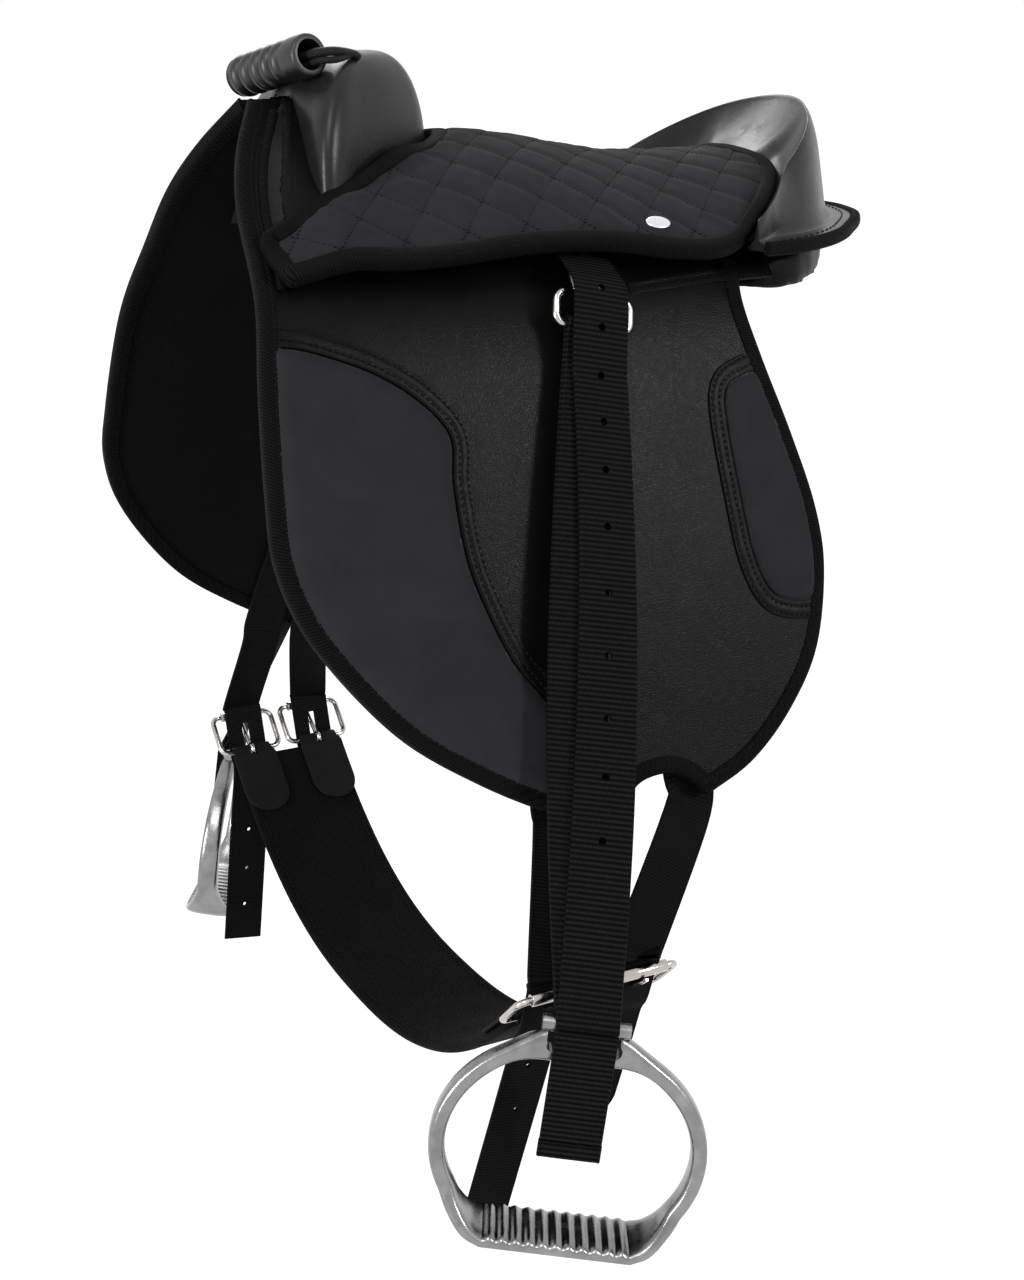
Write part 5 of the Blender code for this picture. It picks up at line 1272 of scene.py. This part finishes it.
# Billets
# Woven straps that come from the tree, down inside the flap, through a buckle and over its lower bar. Their
# punched tails hang free outside the belt.
BILLET_THICKNESS, TREE_HALF_WIDTH, TREE_THICKNESS = 2.2 * MM, 66 * MM, 8 * MM
billet_webbing = webbing_finish("billet webbing", (0.002, 0.002, 0.002), (0.014, 0.014, 0.0145), 1.7 * MM,
                                1.0 * MM, 0.25 * MM, (0.55, 0.7))


def punch(middle, axis, radius, reach):
    """A round cutter."""
    bm = bmesh.new()
    bmesh.ops.create_cone(bm, cap_ends=True, segments=20, radius1=radius, radius2=radius, depth=2 * reach)
    bm.transform(Matrix.Translation(middle) @ axis.to_track_quat("Z", "Y").to_matrix().to_4x4())
    return from_bmesh(bm)


# Each billet's place along the saddle at its top and its foot, and its tail's length, in millimetres
BILLET_ENDS = {"near_front": (-55, -91, 118), "near_rear": (-4, -14, 60), "off_front": (-60, -110, 118),
               "off_rear": (-8, -76, 60)}
BILLET_STEP = 1.5
BILLET_COURSE = ((-14, 0.0), (-30, 0.02), (-60, 0.06), (-110, 0.25), (-150, 0.5), (-205, 0.8), (-248, 1.0),
                 (-266, 1.03))
for name, side, row, place, along, outer in BUCKLES:
    top_x, foot_x, tail_length = BILLET_ENDS[name]
    inside = -(FLAP_THICKNESS + LINING_THICKNESS + 0.9 * MM + 2.2 * GAP + BILLET_THICKNESS / 2)
    edge = TREE_HALF_WIDTH + 5 * GAP + BILLET_THICKNESS / 2
    level = tree_top(top_x * MM, TREE_HALF_WIDTH) - TREE_THICKNESS / 2
    points = [Vector((top_x * MM, side * edge, level)),
              Vector((top_x * MM, side * (edge + 1.4 * MM), level - 6 * MM)),
              on_skirt(top_x * MM, 3 * MM, inside - 2 * MM, side)[0]]
    points += [on_skirt((top_x + (foot_x - top_x) * share) * MM, z * MM, inside, side)[0]
               for z, share in BILLET_COURSE]
    lift = ROLLER_RADIUS + BILLET_THICKNESS / 2 + 9 * GAP
    points.append(place + along * (BUCKLE_HEIGHT + 4 * MM) - outer * (lift + 3.5 * MM))
    points.append(place + along * BUCKLE_HEIGHT - outer * lift)
    points.append(place + along * 1 * MM
                  + outer * (BUCKLE_WIRE + 2 * TONGUE_RADIUS + BILLET_THICKNESS / 2 + 3 * GAP))
    lean = Vector((-0.22 if side < 0 else -0.15, -0.12 * side, -1)).normalized()
    elbow = points[-1] - along * 9 * MM + outer * 1.5 * MM + lean * 3 * MM
    points += [elbow + lean * (tail_length * MM * share) for share in (0.0, 0.35, 0.7, 1.0)]
    path = evenly_spaced(through(points), BILLET_STEP * MM)
    billet_rows = []
    for i, p in enumerate(path):
        run = run_at(path, i, 2)
        flat = (X_AXIS - run * run.x).normalized()
        tip = 1.0 if name == "off_front" else min(1.0, (len(path) - 1 - i) * BILLET_STEP / 13)
        width = 1.0 if tip >= 1 else math.sqrt(1 - 0.9 * (1 - tip) ** 2)
        billet_rows.append([p, flat * width, run.cross(flat).normalized()])
    tools = [tongue_slot(place + along * 11 * MM, along, outer, 17 * MM)]
    for back in (24, 50, 76, 102) if row < 0 else (22, 44):
        at = billet_rows[max(0, len(billet_rows) - 1 - round(back / BILLET_STEP))]
        tools.append(punch(at[0], at[2], 1.3 * MM, 5 * MM))
    shown(name + "_billet_strap", cut_out(woven_band(billet_rows, strap_section(26, 2.2), 1.7, 0.07), tools),
          billet_webbing, (name + "_billet",))


# Stirrup rings
# A nickel wire ring hangs in the loop under the tree on each side. The strap is folded over its lower
# bar.
HANGER = {"near": Vector((-36, -113, -17)) * MM, "off": Vector((-36, 113, -17)) * MM}
EYES = {"near": Vector((-110, -241, -339)) * MM, "off": Vector((-105, 262, -371)) * MM}
RING_LENGTH, HANGER_WIRE, STRAP_WIDTH, STRAP_THICKNESS = 16 * MM, 2 * MM, 30 * MM, 2.2 * MM
STRAP_PITCH, EYE_BAR = 2.65 * MM, 4 * MM


def iron_axes(side_name):
    """Width, outer and down directions of a stirrup iron at rest."""
    side = dict(SIDES)[side_name]
    down = Vector((-0.155, 0, -1)).normalized()
    turn = math.radians(28 if side < 0 else 60)
    flat = Vector((math.cos(turn), side * math.sin(turn), 0))
    across = (flat - down * flat.dot(down)).normalized()
    outer = across.cross(down).normalized()
    return across, outer if outer.y * side > 0 else -outer, down


def strap_frame(side_name, share):
    """Middle of the strap at a share of its length, its downward and width directions and its normal."""
    side = dict(SIDES)[side_name]
    head, eye = HANGER[side_name], EYES[side_name]
    down = (eye - head).normalized()
    flat = (X_AXIS - down * down.x).normalized()
    first = 0.1 if side < 0 else 0.55
    blend = max(0.0, min(1.0, (share - first) / (0.95 - first)))
    across = flat.lerp(iron_axes(side_name)[0], blend * blend * (3 - 2 * blend)).normalized()
    normal = down.cross(across).normalized()
    return head.lerp(eye, share), down, across, normal if normal.y * side > 0 else -normal


for side_name, _ in SIDES:
    head, down, flat, normal = strap_frame(side_name, 0.0)
    ring_path = wire_frame(head + down * RING_LENGTH, -down, flat, STRAP_WIDTH + 11 * MM, RING_LENGTH)
    shown(side_name + "_ring_wire", hoop(ring_path, HANGER_WIRE, 16), nickel,
          (side_name + "_strap_ring",), side_name + "_ring")


# Stirrup straps
# Ribbed webbing looped through the ring and the iron, with a punched outer ply over it that covers the ring
# and ends under the pad. The ply's tail is sewn square and hangs free through the iron.
HOLE_SHARES = (-0.012, 0.046, 0.109, 0.175, 0.247, 0.326, 0.414, 0.50, 0.585, 0.666, 0.752)
for side_name, side in SIDES:
    start = RING_LENGTH / (EYES[side_name] - HANGER[side_name]).length
    bow = 6.5 * MM if side < 0 else 1 * MM
    ply_bow = -8.5 * MM if side < 0 else 0
    low_loop, high_loop = EYE_BAR + GAP + STRAP_THICKNESS / 2, HANGER_WIRE + GAP + STRAP_THICKNESS / 2

    def run_row(share, out, aside):
        middle, _, flat, normal = strap_frame(side_name, share)
        return [middle + normal * out - flat * aside * (share - start) * (1 - share) * 4, flat, normal]

    def wrap_rows(share, radius, first, last, steps):
        middle, down, flat, normal = strap_frame(side_name, share)
        down = (down - flat * down.dot(flat)).normalized()
        rows = []
        for k in range(steps + 1):
            a = math.radians(first + (last - first) * k / steps)
            radial = normal * math.cos(a) + down * math.sin(a)
            rows.append([middle + radial * radius, flat, radial])
        return rows

    shares = [start + (0.93 - start) * (i + 0.4) / 48.4 for i in range(49)]
    inner_run = [run_row(share, -STRAP_PITCH / 2, bow) for share in shares]
    band_rows = [[p, flat, -normal] for p, flat, normal in inner_run] + wrap_rows(1.0, low_loop, 180, 0, 18)
    band_rows += [run_row(share, STRAP_PITCH / 2, bow) for share in reversed(shares)]
    band_rows += wrap_rows(start, high_loop, 0, -180, 14)
    shown(side_name + "_strap_band", woven_band(band_rows, strap_section(30, 2.2), 2.6, 0.12, True), webbing,
          (side_name + "_stirrup_strap",), side_name + "_strap")

    eye = EYES[side_name]
    flat, normal, down = iron_axes(side_name)
    outer_out = low_loop + STRAP_THICKNESS + 0.45 * MM
    head, fall, head_flat, head_normal = strap_frame(side_name, 0.0)
    ply_rows = [[p, head_flat, head_normal] for p in (
        Vector((head.x + 2 * MM, side * 98 * MM, 1 * MM)),
        Vector((head.x + 2 * MM, side * 105 * MM, -3 * MM)),
        head - fall * 5 * MM + head_normal * 6.5 * MM, head + fall * 4 * MM + head_normal * 8.6 * MM)]
    ply_rows.append(run_row(start + 0.006, 1.5 * STRAP_PITCH + GAP + high_loop + 0.6 * MM, ply_bow))
    ply_rows += [run_row(share, 1.5 * STRAP_PITCH + GAP, ply_bow) for share in shares[3:]]
    high = (normal + strap_frame(side_name, 1.0)[3]).normalized()
    ply_rows.append([eye + high * outer_out, flat, high])
    places = through([row[0] for row in ply_rows], 3)
    last = len(ply_rows) - 1
    ply_rows = [[p] + [ply_rows[min(last, k // 3)][j].lerp(ply_rows[min(last, k // 3 + 1)][j], k % 3 / 3)
                       for j in (1, 2)] for k, p in enumerate(places)]
    holes = []
    for share in HOLE_SHARES:
        at = strap_frame(side_name, share)[0].z
        p, _, out = min(ply_rows[:-4], key=lambda row: abs(row[0].z - at))
        holes.append(punch(p, out, 1.9 * MM, 2.2 * MM))
    ply_mesh = cut_out(woven_band(ply_rows, strap_section(30, 2.2), 2.6, 0.14), holes)
    ply = shown(side_name + "_strap_ply", ply_mesh, webbing, (side_name + "_strap_outer_ply",),
                None)
    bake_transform(ply)

    tail_top = eye + normal * outer_out + down * GAP
    tail_rows = [[tail_top + down * (k * MM), flat, normal] for k in range(65)]
    shown(side_name + "_strap_end", woven_band(tail_rows, strap_section(30, 2.2), 2.6, 0.14), webbing,
          (side_name + "_strap_tail",), side_name + "_tail")
    shown(side_name + "_strap_hem", woven_band(tail_rows[56:], strap_section(30.6, 3.6), 2.6, 0.1), webbing,
          (), side_name + "_tail")
    hem_top = tail_top + down * 57.6 * MM
    stitches(side_name + "_hem_stitches",
             [[(hem_top + flat * (a * MM) + normal * 1.7 * MM, normal) for a in range(-13, 14)]],
             2.8, 2.1, 0.7, body=side_name + "_tail")


# Stirrup irons
# Cast aluminium, tumbled to a satin, with a flat slot for the strap under a round bar and a scalloped tread.
IRON_WIDTH, TREAD_DROP, ARM_WIDTH, ARM_DEPTH = 134 * MM, 110 * MM, 8 * MM, 9.5 * MM
TREAD_DEPTH, TREAD_LENGTH, TREAD_THICKNESS = 34 * MM, 88 * MM, 7 * MM
aluminium = metal_finish("cast aluminium", (0.12, 0.12, 0.122), (0.40, 0.39, 0.395), (0.16, 0.34), 350.0,
                         0.12 * MM)


def iron_line():
    """Half of the iron's centre line: across, down, thickness and depth."""
    half, crown = IRON_WIDTH / 2 - ARM_WIDTH / 2, EYE_BAR + 4.5 * MM
    tall = 0.54 * (TREAD_DROP - crown)
    rows = []
    for i in range(33):
        a = math.radians(118) * i / 32
        slim = max(0.0, 1 - a / 0.62)
        rows.append((half * math.sin(a), crown + tall * (1 - math.cos(a)),
                     ARM_WIDTH + 14 * MM * slim * slim * (3 - 2 * slim), ARM_DEPTH * (1 + 0.25 * a)))
    foot = TREAD_LENGTH / 2
    ends = [rows[-1], (foot + 7 * MM, TREAD_DROP - 12 * MM, ARM_WIDTH, 0.62 * TREAD_DEPTH),
            (foot, TREAD_DROP - 3.5 * MM, TREAD_THICKNESS + 1 * MM, 0.86 * TREAD_DEPTH),
            (0.82 * foot, TREAD_DROP, TREAD_THICKNESS, TREAD_DEPTH)]
    curve = through([Vector(row[:3]) for row in ends], 7)
    deep = through([Vector((row[3], 0, 0)) for row in ends], 7)
    rows += [(*p, min(q.x, TREAD_DEPTH)) for p, q in zip(curve[1:], deep[1:])]
    last = rows[-1]
    return rows + [(last[0] * (1 - k / 60), last[1], last[2], last[3]) for k in range(1, 61)]


iron_rows = iron_line()
iron_rows = [(-x, y, thick, deep) for x, y, thick, deep in reversed(iron_rows)][:-1] + iron_rows[:-1]
for side_name, _ in SIDES:
    across, outer, down = iron_axes(side_name)
    eye = EYES[side_name]
    rings = []
    for i, (x, y, thick, deep) in enumerate(iron_rows):
        before, after = iron_rows[i - 1], iron_rows[(i + 1) % len(iron_rows)]
        run = Vector((after[0] - before[0], after[1] - before[1])).normalized()
        radial = across * -run.y + down * run.x
        p = eye + across * x + down * y
        on_tread = y > TREAD_DROP - 0.5 * MM and abs(x) < 35.2 * MM
        wave = (0.5 + 0.5 * math.cos(2 * math.pi * x / (6.4 * MM))) * 1.5 * MM if on_tread else 0.0
        ring = []
        for c, s in oval(thick, deep, 28, 0.6, 0.5):
            out = radial * c
            q = p + out + outer * s
            if wave and out.dot(down) < 0:
                q -= down * wave * min(1.0, -out.dot(down) / (thick * 0.4))
            ring.append(q)
        rings.append(ring)
    slot, corner = [], 4 * MM
    for c, s in circle(40):
        cx = math.copysign(18 * MM - corner, c) + corner * c
        cy = (-2 * MM + math.copysign(15 * MM - corner, s)) + corner * s
        slot.append(eye + across * cx + down * cy)
    slot_mesh = skin([[p + outer * d for p in slot] for d in (-20 * MM, 20 * MM)])
    bar = round_rings([eye + across * (d * MM) for d in (-21, -19, -17, 0, 17, 19, 21)], EYE_BAR, 24)
    shown(side_name + "_iron_casting", joined(cut_out(skin(rings, True), [slot_mesh]), skin(bar)), aluminium,
          (side_name + "_stirrup_iron",), side_name + "_iron", 32)


# Handle sleeve
# A moulded rubber grip with five smooth ridges and a plain collar. The two cord strands run through it.
SLEEVE_BORE = 7 * MM


def rubber_finish():
    made, _, uv, specks = begun("sleeve rubber", 0.015)
    haze = noisy(uv["Object"], Scale=1100.0, Detail=3.0)
    return finished(made, haze, 0.08 * MM, (0.004, 0.004, 0.0042), (0.011, 0.011, 0.0115), specks["Patches"],
                    (0.34, 0.5), specks["Patches"], 0.5)


half = SLEEVE_LENGTH / 2
sleeve_outer = [(-half, 8.4), (-half + 0.4 * MM, 9.3), (-half + 1.2 * MM, 9.7)]
for i in range(5):
    low = -half + 2 * MM + i * 9 * MM
    for share in (0.0, 0.12, 0.3, 0.5, 0.7, 0.88, 1.0):
        rise = math.sin(math.pi * share) ** 0.6 if 0 < share < 1 else 0.0
        sleeve_outer.append((low + (0.3 + 7.4 * share) * MM, 8.3 + 2.2 * rise))
sleeve_outer += [(half - 14 * MM, 9.9), (half - 12.6 * MM, 10.35), (half - 10 * MM, 10.5),
                 (half - 2.2 * MM, 10.5), (half - 0.8 * MM, 10.2), (half, 9.4)]
profile = [(at, r * MM) for at, r in sleeve_outer] + [
    (half, 7.6 * MM), (half - 0.8 * MM, SLEEVE_BORE), (-half + 0.8 * MM, SLEEVE_BORE), (-half, 7.6 * MM)]
u_axis = SLEEVE_AXIS.cross(Vector((0, 0, 1))).normalized()
shown("handle_grip", turned(SLEEVE_MIDDLE, SLEEVE_AXIS, u_axis, SLEEVE_AXIS.cross(u_axis), profile, 48),
      rubber_finish(), ("handle_sleeve",), "sleeve", 50)


# Floor and light
# A plain white studio: a wide pale floor, soft light from all round, and four large soft lamps.
def white_to_camera(tree, base, shader, white):
    """Gives the tree's output a shader, with a white one in its place for the camera and for reflections."""
    seen_by = put(tree, "ShaderNodeLightPath").outputs
    seen = larger(larger(seen_by["Is Camera Ray"], seen_by["Is Glossy Ray"]), seen_by["Is Transmission Ray"])
    mix = put(tree, "ShaderNodeMixShader", i0=times(seen, base), i1=shader.outputs[0], i2=white.outputs[0])
    fill(next(node for node in tree.nodes if node.name.endswith("Output")), Surface=mix.outputs[0])


studio_floor = bpy.data.materials.new("studio floor")
studio_floor.use_nodes = True
tree = studio_floor.node_tree
matt = fill(tree.nodes["Principled BSDF"], Base_Color=(0.9, 0.9, 0.9, 1.0), Roughness=0.9)
white_to_camera(tree, 0.84, matt, put(tree, "ShaderNodeEmission", Strength=1.26))
floor_mesh = bpy.data.meshes.new("floor")
low, reach = cad_box[0][2] - 4 * MM, 40
floor_mesh.from_pydata([(x * reach, y * reach, low) for x, y in ((-1, -1), (1, -1), (1, 1), (-1, 1))], [],
                       [(0, 1, 2, 3)])
floor_mesh.materials.append(studio_floor)
floor = linked("floor", floor_mesh)

world = bpy.data.worlds.new("studio")
bpy.context.scene.world = world
world.use_nodes = True
tree = world.node_tree
white = (1.0, 1.0, 1.0, 1.0)
ambient = fill(tree.nodes["Background"], Color=white, Strength=0.14)
white_to_camera(tree, 1.0, ambient, put(tree, "ShaderNodeBackground", Color=white, Strength=1.0))
for name, place, power, width, height in (
        ("key", (-1.1, -1.5, 2.1), 27.0, 1.1, 1.1), ("front", (1.35, -2.1, 0.95), 32.0, 0.4, 0.65),
        ("left", (-2.3, -0.55, 0.25), 38.0, 0.26, 1.2), ("back", (0.5, 1.8, 1.7), 22.0, 1.2, 0.8)):
    lamp = bpy.data.lights.new(name, "AREA")
    lamp.shape, lamp.size, lamp.size_y, lamp.energy = "RECTANGLE", width, height, power
    obj = linked(name, lamp)
    obj.location = place
    look_along(obj, Vector((0, 0, -0.1)) - Vector(place))
bpy.context.scene.view_settings.view_transform = "Standard"
